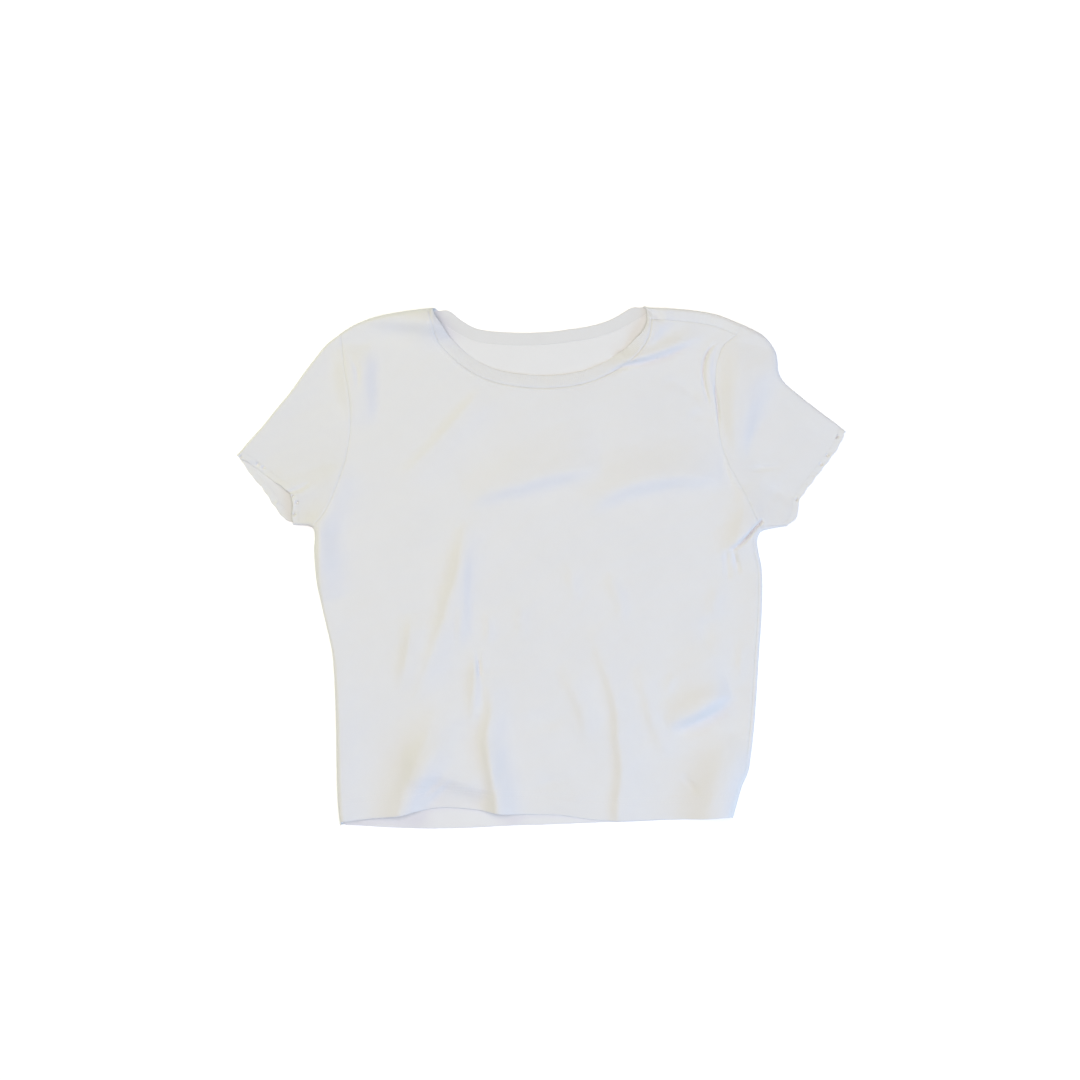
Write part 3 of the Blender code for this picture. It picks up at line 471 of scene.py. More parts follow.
# each slow wave's height, turns in a millimetre, and heading
UNEVENNESS = ((0.09, 0.021, 0.3), (0.08, 0.037, 1.9), (0.06, 0.058, 4.1), (0.05, 0.083, 5.3))
SWAY, SWAY_LENGTH = 9, 31


def from_silhouette(x, y):
    """Distance to the nearest folded edge of the shirt."""
    return np.min([np.abs(nearest_on(line, x, y)[0]) for line in FOLD_LINES], axis=0)


def slow_waves(x, y):
    """Low waves in four directions that never repeat together."""
    total = np.zeros(np.shape(x))
    for height, turns, heading in UNEVENNESS:
        along = x * np.cos(heading) + y * np.sin(heading)
        across = y * np.cos(heading) - x * np.sin(heading)
        swayed = along + SWAY * np.sin(across / SWAY_LENGTH)
        total += height * np.sin(2 * np.pi * turns * swayed)
    return total


def cloth_height(x, y, small=True):
    """Height of the upper layer's top side over the floor."""
    x, y = np.asarray(x, float), np.asarray(y, float)
    spring = np.exp(-((from_silhouette(x, y) / EDGE_SPRING_REACH) ** 2))
    height = LYING_HEIGHT + EDGE_SPRING * spring
    off_hem = nearest_on(HEM_LINE, x, y)[0]
    height += HEM_LIFT * np.exp(-((off_hem / HEM_LIFT_REACH) ** 2))
    if small:
        height += slow_waves(x, y)
    for fold, line, crest in zip(FOLDS if small else BROAD_FOLDS, CREASE_LINES, CRESTS):
        off, share = nearest_on(line, x, y)
        (start, end, power), (start_right, end_right, power_right) = fold.left, fold.right
        on_left = off > 0
        start, end = np.where(on_left, start, start_right), np.where(on_left, end, end_right)
        power = np.where(on_left, power, power_right)
        drop = (np.abs(off) / (start + (end - start) * share)) ** power
        height += np.interp(share, crest[:, 0], crest[:, 1]) * np.exp(-drop)
    for lift_x, lift_y, lift in NECK_LIFTS:
        away = np.hypot(x - lift_x, y - lift_y)
        height += lift * np.exp(-((away / NECK_LIFT_REACH) ** 2))
    for middle in CUFF_MIDDLE.values():
        away = np.hypot(x - middle[0], y - middle[1])
        height += CUFF_LIFT * np.exp(-((away / CUFF_LIFT_REACH) ** 2))
    near_hem = np.exp(-((off_hem / HEM_LIFT_REACH) ** HEM_LIMIT_POWER))
    return np.maximum(height, LEAST_HEIGHT + (LEAST_AT_HEM - LEAST_HEIGHT) * near_hem)


print("height in mid chest:", round(float(cloth_height(0, 0)), 2), "mm")

# %% [markdown]
# ## Shared edges
#
# Two pieces that are sewn together have to follow the same line, so every seam is worked
# out once, and each piece takes it with half of the slit's width on its own side. The body
# turns over at the sides, the sleeves at top and bottom, always round the same radius.


# %% Stretches of the fold lines
def place_along(line, point):
    gaps = np.linalg.norm(line - np.array(point), axis=1)
    return lengths_along(line)[gaps.argmin()]


def edge_between(line, side, start, end, shares):
    """Silhouette points with unit vectors into the shirt."""
    places = (start + (end - start) * shares) / lengths_along(line)[-1]
    inward = left_normals(line) * OUTWARD[side]
    return sampled(line, places), unit(sampled(line, places, inward))


SIDE_SHARES = 1 - (1 - np.linspace(0, 1, 131)) ** 1.25  # closer under the arm
STRIP_SHARES = np.linspace(0, 1, 33) ** 1.5
SLEEVE_SHARES = np.linspace(0, 1, 71) ** 1.3  # closer at the armhole
ARMHOLE_ROWS, NECK_COLUMNS, ROLL_STEPS = 86, 112, 9
HEM_RADIUS = 0.65  # of the folded hem edge


def side_edge(side):
    line = LOWER_LINES[side]
    end = place_along(line, ARMHOLE[side][0]) - SEAM_GAP / 2
    return edge_between(line, side, HEM_RADIUS, end, SIDE_SHARES)


def underarm_edge(side):
    line = LOWER_LINES[side]
    start = place_along(line, ARMHOLE[side][0]) + SEAM_GAP / 2
    return edge_between(line, side, start, lengths_along(line)[-1], SLEEVE_SHARES)


def shoulder_edge(side):
    line = UPPER_LINES[side]
    start = place_along(line, ARMHOLE[side][-1]) + SEAM_GAP / 2
    end = lengths_along(line)[-1] - SEAM_GAP / 2
    return edge_between(line, side, start, end, STRIP_SHARES)


def sleeve_top_edge(side):
    line = UPPER_LINES[side]
    start = place_along(line, ARMHOLE[side][-1]) - SEAM_GAP / 2
    return edge_between(line, side, start, 0, SLEEVE_SHARES)


def end_of(edge, index):
    line, inward = edge
    return line[[index]], inward[[index]]


def inset_points(edge, distance):
    line, inward = edge
    return line + inward * np.reshape(distance, (-1, 1))


def roll_radius(edge):
    return cloth_height(*edge[0].T) / 2


# %% Seam lines on both layers
def armhole_line(side, layer, toward_body):
    """The armhole seam on one layer, from its underarm end to its shoulder end."""
    under, tip = end_of(side_edge(side), -1), end_of(shoulder_edge(side), 0)
    if layer == "upper":
        start = inset_points(under, SEAM_INSET[side] + SEAM_GAP / 2)
        end = inset_points(tip, SHOULDER_INSET[side] + SEAM_GAP / 2)
    else:
        start = inset_points(under, roll_radius(under))
        end = inset_points(tip, roll_radius(tip))
    middle = np.array(ARMHOLE[side], float)
    share = lengths_along(middle) / lengths_along(middle)[-1]
    if layer == "lower":
        middle[:, 0] += OUTWARD[side] * BACK_ARMHOLE_BULGE * np.sin(np.pi * share)
    lowest = start[0, 1] + TABLE_CLEARANCE["underarm"]
    highest = end[0, 1] - TABLE_CLEARANCE["shoulder"]
    keep = (middle[:, 1] > lowest) & (middle[:, 1] < highest)
    line = smooth(np.vstack([start, middle[keep], end]))
    return sampled(shifted(line, toward_body * OUTWARD[side]), closer_at_ends(ARMHOLE_ROWS))


def neck_line(layer, toward_band, count=NECK_COLUMNS + 1):
    """A neck seam from the wearer's right shoulder seam to the left one."""
    table = np.array(FRONT_NECK if layer == "upper" else BACK_NECK, float)
    ends = []
    for side in SIDES:
        neck = end_of(shoulder_edge(side), -1)
        seam = SHOULDER_INSET[side] + SEAM_GAP / 2
        ends.append(inset_points(neck, seam if layer == "upper" else roll_radius(neck)))
    keep = table[:, 1] < min(ends[0][0, 1], ends[1][0, 1]) - TABLE_CLEARANCE["neck"]
    line = smooth(np.vstack([ends[0], table[keep], ends[1]]))
    return spaced(shifted(line, toward_band), count)


# %% Seams that pull the cloth down
NECK_STITCHES_AT = -2.6  # between the two rows of stitches below the neck seam
Seam = namedtuple("Seam", "line depth reach pucker")
SEAMS = [
    Seam(neck_line("upper", 0.0), 0.6, 0.7, 0.06),
    Seam(neck_line("upper", NECK_STITCHES_AT), 0.12, 0.7, 0.0),
]
for side in SIDES:
    SEAMS.append(Seam(armhole_line(side, "upper", 0.0)[::3], 0.25, 0.8, 0.07))
    SEAMS.append(Seam(inset_points(side_edge(side), SEAM_INSET[side])[::4], 0.2, 1.0, 0.07))
    edge = shoulder_edge(side)
    SEAMS.append(Seam(inset_points(edge, SHOULDER_INSET[side])[::2], 0.3, 0.8, 0.07))
print("front neck seam:", round(lengths_along(SEAMS[0].line)[-1]), "mm")

# %% [markdown]
# ## What a seam does to the cloth
#
# Thread pulls the cloth down where it is sewn, so each seam is a narrow groove, and the
# cloth beside it puckers in short waves that die out within a finger's width. Both are
# added to the height before any point is placed, so that the two sides of a seam agree.

# %% Grooves, puckers and the outer surface
PUCKER_LENGTH, PUCKER_REACH = 9.5, 6.0
PUCKER_WANDER = ((2.3, 17), (1.4, 7.3))  # shifts the puckers, so that they don't repeat


def seam_relief(x, y):
    """How much lower or higher the seams make the cloth."""
    relief = np.zeros(np.shape(x))
    for seam in SEAMS:
        off, share = nearest_on(seam.line, x, y)
        along = wander = share * lengths_along(seam.line)[-1]
        for shift, length in PUCKER_WANDER:
            wander = wander + shift * np.sin(along / length)
        wave = np.sin(2 * np.pi * wander / PUCKER_LENGTH)
        relief += seam.pucker * wave * np.exp(-((off / PUCKER_REACH) ** 2))
        relief -= seam.depth * np.exp(-((off / seam.reach) ** 2))
    return relief


def upper_level(plan, small=True):
    """Height of the upper layer's outer side, rounded off at the silhouette."""
    x, y = plan[..., 0], plan[..., 1]
    radius = cloth_height(x, y, small) / 2
    inward = np.clip(from_silhouette(x, y), 0, radius)
    return radius + np.sqrt(radius**2 - (radius - inward) ** 2)


def upper_surface(plan, sewn=1.0):
    level = upper_level(plan) + sewn * seam_relief(plan[..., 0], plan[..., 1])
    return np.concatenate([plan, level[..., None]], axis=-1)


def lower_surface(plan):
    return np.concatenate([plan, np.zeros(plan.shape[:-1] + (1,))], axis=-1)


def roll(edge, inset, sewn=1.0):
    """Cloth rolling round a folded edge, from the lower layer up to a seam on the upper one."""
    line, inward = edge
    radius = roll_radius(edge)[:, None]
    quarter = radius * np.pi / 2
    inset = np.broadcast_to(np.reshape(inset, (-1, 1)), radius.shape)
    on_arc = np.arccos(np.clip(1 - inset / radius, -1, 1)) * radius
    end = np.where(inset < radius, on_arc, quarter + inset - radius)
    share = np.linspace(0, 1, ROLL_STEPS + 1)[None, :]
    travelled = -quarter + share * (end + quarter)
    angle = np.clip(travelled / radius, -np.pi / 2, np.pi / 2)
    beyond = np.maximum(travelled - quarter, 0)
    distance = radius * (1 - np.cos(angle)) + beyond
    plan = line[:, None] + inward[:, None] * distance[..., None]
    level = np.where(beyond > 0, upper_level(plan), radius * (1 + np.sin(angle)))
    short = upper_level(plan[:, -1]) - level[:, -1]  # the seam has to meet the panel's height
    level += short[:, None] * np.clip(travelled / end, 0, 1) ** 2
    level += sewn * seam_relief(plan[..., 0], plan[..., 1]) * np.clip(np.sin(angle), 0, 1)
    return np.concatenate([plan, level[..., None]], axis=-1)


# %% [markdown]
# ## From points to cloth
#
# A piece can need more than one grid: a panel, the parts of it that roll round the sides,
# and its turned-up hem. The grids share their border points, so merging the doubles sews
# them into one sheet. Its faces are turned outwards while it is still open, and a Solidify
# modifier then gives it the thickness of jersey, inwards from the outer side.

# %% Sheet maker
WALL = 0.6  # thickness of the jersey
SAME_POINT = 0.02  # points nearer than this are merged
SHARP_ANGLE = np.radians(55)  # edges that turn more than this stay sharp


def grid_block(points, u, v):
    """One grid of points with its place on the flat cloth: u across and v along, in mm."""
    rows, columns = points.shape[:2]
    flat = np.stack([np.broadcast_to(u, (rows, columns)), np.broadcast_to(v, (rows, columns))])
    return points, flat.transpose(1, 2, 0)


def sew_sheet(name, blocks, wall, facing):
    """Joins grids into one closed sheet; facing is a vector that the first face looks along."""
    verts, faces, flat = [], [], []
    for points, places in blocks:
        rows, columns = points.shape[:2]
        first = sum(len(v) for v in verts)
        index = first + np.arange(rows * columns).reshape(rows, columns)
        quads = np.stack([index[:-1, :-1], index[:-1, 1:], index[1:, 1:], index[1:, :-1]], -1)
        verts.append((points.reshape(-1, 3) - MIDDLE) * MM)
        faces.append(quads.reshape(-1, 4))
        flat.append(places.reshape(-1, 2) * MM)
    verts, faces, flat = (np.concatenate(part) for part in (verts, faces, flat))
    mesh = bpy.data.meshes.new(name)
    mesh.from_pydata(verts, [], faces.tolist())
    cloth_map = mesh.uv_layers.new(name="cloth_map")
    cloth_map.data.foreach_set("uv", flat[faces.reshape(-1)].reshape(-1))
    bm = bmesh.new()
    bm.from_mesh(mesh)
    bmesh.ops.remove_doubles(bm, verts=bm.verts[:], dist=SAME_POINT * MM)
    bmesh.ops.recalc_face_normals(bm, faces=bm.faces[:])
    bm.faces.ensure_lookup_table()
    if bm.faces[0].normal.dot(facing) < 0:
        bmesh.ops.reverse_faces(bm, faces=bm.faces[:])
    area = sum(face.calc_area() for face in bm.faces)
    bm.to_mesh(mesh)
    bm.free()
    piece = bpy.data.objects.new(name, mesh)
    bpy.context.scene.collection.objects.link(piece)
    bpy.ops.object.select_all(action="DESELECT")
    bpy.context.view_layer.objects.active = piece
    piece.select_set(True)
    solid = piece.modifiers.new("thickness", "SOLIDIFY")
    solid.thickness = wall * MM
    solid.offset = -1.0
    bpy.ops.object.modifier_apply(modifier=solid.name)
    bpy.ops.object.shade_smooth_by_angle(angle=SHARP_ANGLE)
    print(f"{name}: {area:.4f} m2 of cloth, {len(mesh.polygons) * 2} triangles")
    return piece


# %% [markdown]
# ## The body panels
#
# A panel is wide at the hem and narrow at the shoulders, with a neck cut out of the top. A
# single grid would crowd at the neck's corners, so it is laid out in three strips: one
# under each shoulder and one under the neck. The hem is the panel's own edge, folded up
# inside by 20 mm, and it is modelled as the cloth really runs.

# %% Layout of a panel
HEM_DEPTH, HEM_STEPS = 20.5, 12
HEM_ROLL = np.radians(np.linspace(90, -90, 8))
HEM_GUIDE_ROW = 12  # the row of a panel that its hem is turned towards


def panel_plan(hem, sides, shoulders, neck):
    """A body panel's grid of plan points, with the hem as its first row."""
    both = [lengths_along(sides[side]) for side in SIDES]
    rows = sum(along / along[-1] for along in both) / 2
    guides, splits = {}, {}
    for side, corner in zip(SIDES, (neck[0], neck[-1])):
        guide = np.array(GUIDE, float) * (OUTWARD[side], 1)
        splits[side] = np.abs(hem[:, 0] - guide[0, 0]).argmin()
        guide[0] = hem[splits[side]]
        guides[side] = sampled(smooth(np.vstack([guide, corner])), rows)
    left, right = splits["right"], splits["left"]
    first = coons(
        sampled(hem[: left + 1], STRIP_SHARES), np.vstack([shoulders["right"][:-1], neck[:1]]),
        sides["right"], guides["right"], STRIP_SHARES, rows,
    )
    even = np.linspace(0, 1, NECK_COLUMNS + 1)
    middle = coons(
        sampled(hem[left : right + 1], even), neck, guides["right"], guides["left"], even, rows
    )
    last = coons(
        sampled(hem[: right - 1 : -1], STRIP_SHARES),
        np.vstack([shoulders["left"][:-1], neck[-1:]]),
        sides["left"], guides["left"], STRIP_SHARES, rows,
    )
    return np.concatenate([first, middle[:, 1:], last[:, -2::-1]], axis=1)


def turned_hem(plan, surface, inside):
    """The folded edge and the allowance behind it: inside is -1 under a layer, 1 over it."""
    start = plan[0]
    inward = unit(plan[HEM_GUIDE_ROW] - start)
    rows, levels, run = [], [], []
    base = surface[0, :, 2]
    for angle in HEM_ROLL:
        reach = HEM_RADIUS * (1 - np.cos(angle)) - HEM_RADIUS
        rows.append(start + inward * reach)
        levels.append(base + inside * HEM_RADIUS * (1 - np.sin(angle)))
        run.append(-HEM_RADIUS * (np.pi / 2 - angle))
    for reach in np.linspace(0, HEM_DEPTH, HEM_STEPS)[1:]:
        rows.append(start + inward * reach)
        level = upper_level(rows[-1]) if inside < 0 else base
        levels.append(level + inside * 2 * HEM_RADIUS)
        run.append(-HEM_RADIUS * np.pi - reach)
    points = np.concatenate([np.array(rows), np.array(levels)[..., None]], axis=-1)
    return points, np.array(run)[:, None]


# %% Front panel
def front_plan():
    half = SEAM_GAP / 2
    sides, shoulders = {}, {}
    for side in SIDES:
        edge = side_edge(side)
        seam = inset_points(edge, SEAM_INSET[side] + half)
        rise = FRONT_HEM_RISE[side] / lengths_along(seam)[-1]
        seam = sampled(seam, rise + (1 - rise) * SIDE_SHARES)
        armhole = armhole_line(side, "upper", half)
        sides[side] = np.vstack([seam[:-1], armhole])
        shoulders[side] = inset_points(shoulder_edge(side), SHOULDER_INSET[side] + half)
        shoulders[side][0] = armhole[-1]
    hem = np.array(FRONT_HEM, float)
    hem[0], hem[-1] = sides["right"][0], sides["left"][0]
    hem[1:-1, 1] += HEM_RADIUS
    return panel_plan(smooth(hem), sides, shoulders, neck_line("upper", -half))


FRONT_PLAN = front_plan()
front_top = upper_surface(FRONT_PLAN)
front_hem, front_hem_run = turned_hem(FRONT_PLAN, front_top, -1)
front_v = FRONT_PLAN[..., 1] - FRONT_PLAN[:1, :, 1]
front = sew_sheet(
    "front_panel",
    [grid_block(front_top, FRONT_PLAN[..., 0], front_v),
     grid_block(front_hem, FRONT_PLAN[0, :, 0], front_hem_run)],
    WALL, (0, 0, 1),
)


# %% Back panel
def back_blocks():
    """The flat panel, its rolls up the sides and over the shoulders, and its hem."""
    half = SEAM_GAP / 2
    sides, shoulders, rolls = {}, {}, []
    for side in SIDES:
        edge = side_edge(side)
        armhole = armhole_line(side, "lower", half)
        sides[side] = np.vstack([inset_points(edge, roll_radius(edge))[:-1], armhole])
        turned = roll(edge, SEAM_INSET[side] - half)
        turned[-1, 0, :2] = armhole[0]
        rolls.append(turned)
        edge = shoulder_edge(side)
        shoulders[side] = inset_points(edge, roll_radius(edge))
        shoulders[side][0] = armhole[-1]
        turned = roll(edge, SHOULDER_INSET[side] - half)
        turned[0, 0, :2] = armhole[-1]
        rolls.append(turned)
    hem = np.array(BACK_HEM, float)
    hem[0], hem[-1] = sides["right"][0], sides["left"][0]
    hem[1:-1, 1] += HEM_RADIUS
    plan = panel_plan(smooth(hem), sides, shoulders, neck_line("lower", -half))
    bottom = lower_surface(plan)
    rolls[1][-1, 0] = bottom[-1, len(STRIP_SHARES) - 1]
    rolls[3][-1, 0] = bottom[-1, -len(STRIP_SHARES)]
    blocks = [grid_block(bottom, plan[..., 0], plan[..., 1])]
    for turned in rolls:
        blocks.append(grid_block(turned, turned[:, :1, 0], turned[:, :1, 1]))
    folded, run = turned_hem(plan, bottom, 1)
    blocks.append(grid_block(folded, plan[0, :, 0], run + plan[0, :, 1]))
    return blocks


back = sew_sheet("back_panel", back_blocks(), WALL, (0, 0, -1))

# %% [markdown]
# ## The sleeves
#
# A set-in sleeve is one piece that goes all round the arm. Its grid starts at the armhole
# and ends at the cuff, and it runs from the underarm seam over the upper layer, round the
# top fold, back under the lower layer and round the lower fold to the seam again.


# %% Sleeves
def sleeve_sheet(side):
    """The sleeve's outer points, from the armhole (row 0) to the cuff."""
    half = SEAM_GAP / 2
    under, over = underarm_edge(side), sleeve_top_edge(side)
    under_inset = np.interp(SLEEVE_SHARES, (0, 1), (SEAM_INSET[side], CUFF_INSET))
    over_inset = np.interp(SLEEVE_SHARES, (0, 1), (SHOULDER_INSET[side], CUFF_INSET))
    around = closer_at_ends(ARMHOLE_ROWS)
    layers = {}
    for layer, cuff in (("upper", UPPER_CUFF[side]), ("lower", LOWER_CUFF[side])):
        armhole = armhole_line(side, layer, -half)
        if layer == "upper":
            low = inset_points(under, under_inset + half)
            high = inset_points(over, over_inset)
        else:
            low = inset_points(under, roll_radius(under))
            high = inset_points(over, roll_radius(over))
        inner_cuff = np.array(cuff, float)[-2:0:-1]
        cuff_line = sampled(smooth(np.vstack([low[-1:], inner_cuff, high[-1:]])), around)
        low[0], high[0] = armhole[0], armhole[-1]
        layers[layer] = coons(armhole, cuff_line, low, high, around, SLEEVE_SHARES)
    parts = (
        upper_surface(layers["upper"]),
        roll(over, over_inset)[:, -2:0:-1],
        lower_surface(layers["lower"])[:, ::-1],
        roll(under, under_inset - half)[:, 1:],
    )
    return np.concatenate(parts, axis=1)


def run_of(points, axis):
    """Distance travelled along one axis of a grid, from its middle line."""
    points = np.moveaxis(points, axis, 0)
    middle = points[:, points.shape[1] // 2]
    return lengths_along(middle)


sleeve_points = {side: sleeve_sheet(side) for side in SIDES}
sleeves = {}
for side in SIDES:
    points = sleeve_points[side]
    around, outward = run_of(points, 1), run_of(points, 0)
    sleeves[side] = sew_sheet(
        f"sleeve_{side}_cloth", [grid_block(points, around[None], outward[:, None])],
        WALL, (0, 0, 1),
    )

# %% [markdown]
# ## Bands and edgings
#
# The neckband is a strip of rib, folded lengthwise and sewn on by both raw edges, so its
# section is a flat U with a round free edge. The edging on each cuff is a narrow strip that
# is longer than the cuff, so it ripples and its edge scallops between pinched stitches.

# %% Strip along a seam
UPWARD_LEAN = np.array([0, 0, 1.2])


def surface_normals(points):
    """Outward unit normals of a grid whose rows run from the seam outwards."""
    along = np.gradient(points, axis=1)
    across = np.gradient(points, axis=0)
    return unit(np.cross(along, across))


def finer_places(ring, step):
    """Distances along a ring that keep its own points and divide what is longer than step."""
    along = lengths_along(ring)
    parts = [
        np.linspace(start, end, max(1, round((end - start) / step)), endpoint=False)
        for start, end in zip(along, along[1:])
    ]
    return np.append(np.concatenate(parts), along[-1])


def strip_base(ring, facing, reach, places):
    """Points, normals and reach at places along a seam."""
    shares = places / places[-1]
    base = sampled(ring, shares)
    normal = unit(sampled(ring, shares, facing))
    reach = sampled(ring, shares, reach)
    width = np.linalg.norm(reach, axis=1)
    reach = unit(reach - (reach * normal).sum(1, keepdims=True) * normal)
    return base, normal, reach, width


# %% Sizes of the neckband
BAND_WIDTH = 10.5
FRONT_BAND_FOLD, BACK_BAND_FOLD = (3.2, 0.5), (6.5, 3.2)  # reach where the band folds over
FRONT_FOLD_SPREAD, BACK_FOLD_SPREAD = 16.0, 9.0  # and how far along that has an effect
BAND_WIDENING, BAND_WIDENING_REACH = 0.16, 20.0  # the back's half is wider by the folds
BAND_WALL, BAND_RADIUS = 0.3, 0.36
RIB_PITCH, RIB_DEPTH = 1.6, 0.09
RIB_RISE = 5  # the ribs reach their full depth a fifth of the way out
BAND_STEP, BAND_COLUMNS = 0.4, 121
BAND_ROWS = (0, 0.03, 0.07, 0.12, 0.2, 0.35, 0.55, 0.78, 1)  # closer at the seam
BAND_FOLLOWS_FROM = 7.0  # from each shoulder, where the band lies flat like the front
BAND_PULL_REACH = 0.8  # how far the seam's puckers go into the band
BAND_DROOP = 0.8  # how far the front band's free edge sinks on to the back panel
BAND_SINK = 0.35  # and how much of the air under the band it sinks through as well
NECK_CORNER, NECK_CORNER_REACH = 93, 16  # where it doesn't, because the band folds over


def band_reach(line, at_fold, spread, widening):
    """Vectors from a neck seam to the band's free edge, with a shorter one where it folds."""
    along = lengths_along(line)
    reach = left_normals(line) * BAND_WIDTH
    for fold, way in ((0, 1), (-1, -1)):
        away = np.abs(along - along[fold])[:, None]
        reach = reach * (1 + widening * np.exp(-((away / BAND_WIDENING_REACH) ** 2)))
        weight = np.exp(-((away / spread) ** 2))
        reach = reach * (1 - weight) + weight * np.array([way * at_fold[0], at_fold[1]])
    return reach


def slope_normals(plan):
    """Outward normals of the upper layer, read from its own slope."""
    step = 0.5
    sides = [
        (upper_level(plan + shift) - upper_level(plan - shift)) / (2 * step)
        for shift in (np.array([step, 0]), np.array([0, step]))
    ]
    return unit(np.stack([-sides[0], -sides[1], np.ones_like(sides[0])], axis=-1))


def roll_normals(edge, points):
    """Outward normals round a rolled edge: away from its middle, then off the slope."""
    line, inward = edge
    radius = roll_radius(edge)[0]
    middle = np.append(line[0] + inward[0] * radius, radius)
    beyond = (points[:, :2] - line[0]) @ inward[0] > radius
    on_top = beyond & (points[:, 2] > radius)
    return np.where(on_top[:, None], slope_normals(points[:, :2]), unit(points - middle))


# %% The ring that the neckband is sewn to
def neckband_ring():
    """Points from the centre back all round, with what the band faces, reaches and follows."""
    front_line, back_line = (neck_line(layer, 0, BAND_COLUMNS) for layer in ("upper", "lower"))
    front_reach = band_reach(front_line, FRONT_BAND_FOLD, FRONT_FOLD_SPREAD, 0.0)
    back_reach = band_reach(back_line, BACK_BAND_FOLD, BACK_FOLD_SPREAD, BAND_WIDENING)
    down = np.tile([0.0, 0.0, -1.0], (BAND_COLUMNS, 1))
    away = lengths_along(front_line)
    away = np.minimum(away, away[-1] - away)[:, None]
    follow = np.clip(away / BAND_FOLLOWS_FROM, 0, 1)
    parts = [(lower_surface(back_line), down, back_reach, 0 * follow)]
    for side, end in zip(SIDES, (0, -1)):
        edge = end_of(shoulder_edge(side), -1)
        points = roll(edge, SHOULDER_INSET[side], 0.0)[0, 1:-1]
        facing = roll_normals(edge, points)
        share = np.linspace(0, 1, ROLL_STEPS + 1)[1:-1, None]
        reach = back_reach[end] * (1 - share) + front_reach[end] * share
        parts.append((points, facing, reach, 0 * share))
    parts.append(
        (upper_surface(front_line, 0.0), slope_normals(front_line), front_reach, follow)
    )
    middle = BAND_COLUMNS // 2
    ring, facing, reach, follow = (
        np.vstack([lower[middle::-1], right, upper, left[::-1], lower[: middle - 1 : -1]])
        for lower, right, left, upper in zip(*parts)
    )
    ring[0, 0] -= SEAM_GAP / 2
    ring[-1, 0] += SEAM_GAP / 2
    return ring, facing, np.pad(reach, ((0, 0), (0, 1))), follow


# %% Neckband
def neckband_blocks():
    """The strip's rows: out over its outer side, round its free edge and back under."""
    half = SEAM_GAP / 2
    ring, facing, reach, follow = neckband_ring()
    length = lengths_along(ring)[-1]
    places = np.linspace(0, length, round(length / BAND_STEP) + 1)
    shares = places / length
    follow = sampled(ring, shares, follow)
    plan_reach = unit(sampled(ring, shares, reach))
    base, normal, reach, width = strip_base(ring, facing, reach, places)
    base_level = upper_level(base[:, :2], small=False)
    ribs = RIB_DEPTH * (np.cos(2 * np.pi * places / RIB_PITCH) - 1)
    on_front = np.clip(normal[:, 2], 0, 1)
    pull = seam_relief(base[:, 0], base[:, 1]) * on_front
    from_corner = np.abs(np.abs(base[:, 0]) - NECK_CORNER)
    near_corner = np.exp(-((from_corner / NECK_CORNER_REACH) ** 2))
    room = np.clip(base[:, 2] - LYING_HEIGHT, 0, None) * (1 - near_corner)
    droop = (BAND_DROOP + BAND_SINK * room) * on_front
    rows, run = [], []
    flat_width = width - BAND_RADIUS

    def band_points(out):
        """Straight out from the seam, but over the front panel's slopes where it lies flat."""
        straight = base + reach * out[:, None]
        over = base + plan_reach * out[:, None]
        over[:, 2] += upper_level(over[:, :2], small=False) - base_level
        return straight * (1 - follow) + over * follow

    for share in BAND_ROWS:
        out = half + share * (flat_width - half)
        rib = ribs * min(1, share * RIB_RISE)
        row = band_points(out) + normal * rib[:, None]
        row[:, 2] += pull * np.exp(-((out / BAND_PULL_REACH) ** 2)) - droop * share**2
        rows.append(row)
        run.append(share * BAND_WIDTH)
    for angle in np.radians(np.linspace(90, -90, 7))[1:]:
        out = flat_width + BAND_RADIUS * np.cos(angle)
        drop = BAND_RADIUS * (1 - np.sin(angle)) - ribs * max(0, np.sin(angle))
        rows.append(band_points(out) - normal * drop[:, None])
        rows[-1][:, 2] -= droop
        run.append(BAND_WIDTH + BAND_RADIUS * (np.pi / 2 - angle))
    for share in np.linspace(1, 0, 6)[1:]:
        out = half + share * (flat_width - half)
        rows.append(band_points(out) - normal * 2 * BAND_RADIUS)
        rows[-1][:, 2] -= droop * share**2
        run.append(BAND_WIDTH * (2 - share) + BAND_RADIUS * np.pi)
    return [grid_block(np.array(rows), places[None], np.array(run)[:, None])]


neckband = sew_sheet("neckband_rib", neckband_blocks(), BAND_WALL, (0, 0, -1))

# %% Cuff edgings
EDGING_WIDTH, EDGING_WALL, EDGING_RADIUS = 5.5, 0.42, 0.5
EDGING_PITCH, EDGING_WAVE, EDGING_SCALLOP = 11.5, 0.5, 0.3
EDGING_STEP = 0.5
PINCH_SIZE = 1.05
OVER_LOWER, OVER_FLOOR = 0.55, 0.08  # the least height of the strip's two sides in a pinch
PINCHES = {  # where stitches draw the edging together, and how deep
    "right": ((-252, 93.4, 2), (-233, 84.5, 2.4), (-238, 87, 1.8), (-235.2, 79, 1.6),
              (-221.8, 54.6, 1.8), (-208.5, 60.5, 2.5), (-207, 45, 2.4), (-204.5, 55, 2)),
    "left": ((248, 110, 2.5), (240.2, 94.6, 2), (235, 87, 2), (212.5, 68.7, 2.4),
             (210, 60, 2.5), (214.5, 57.5, 2)),
}


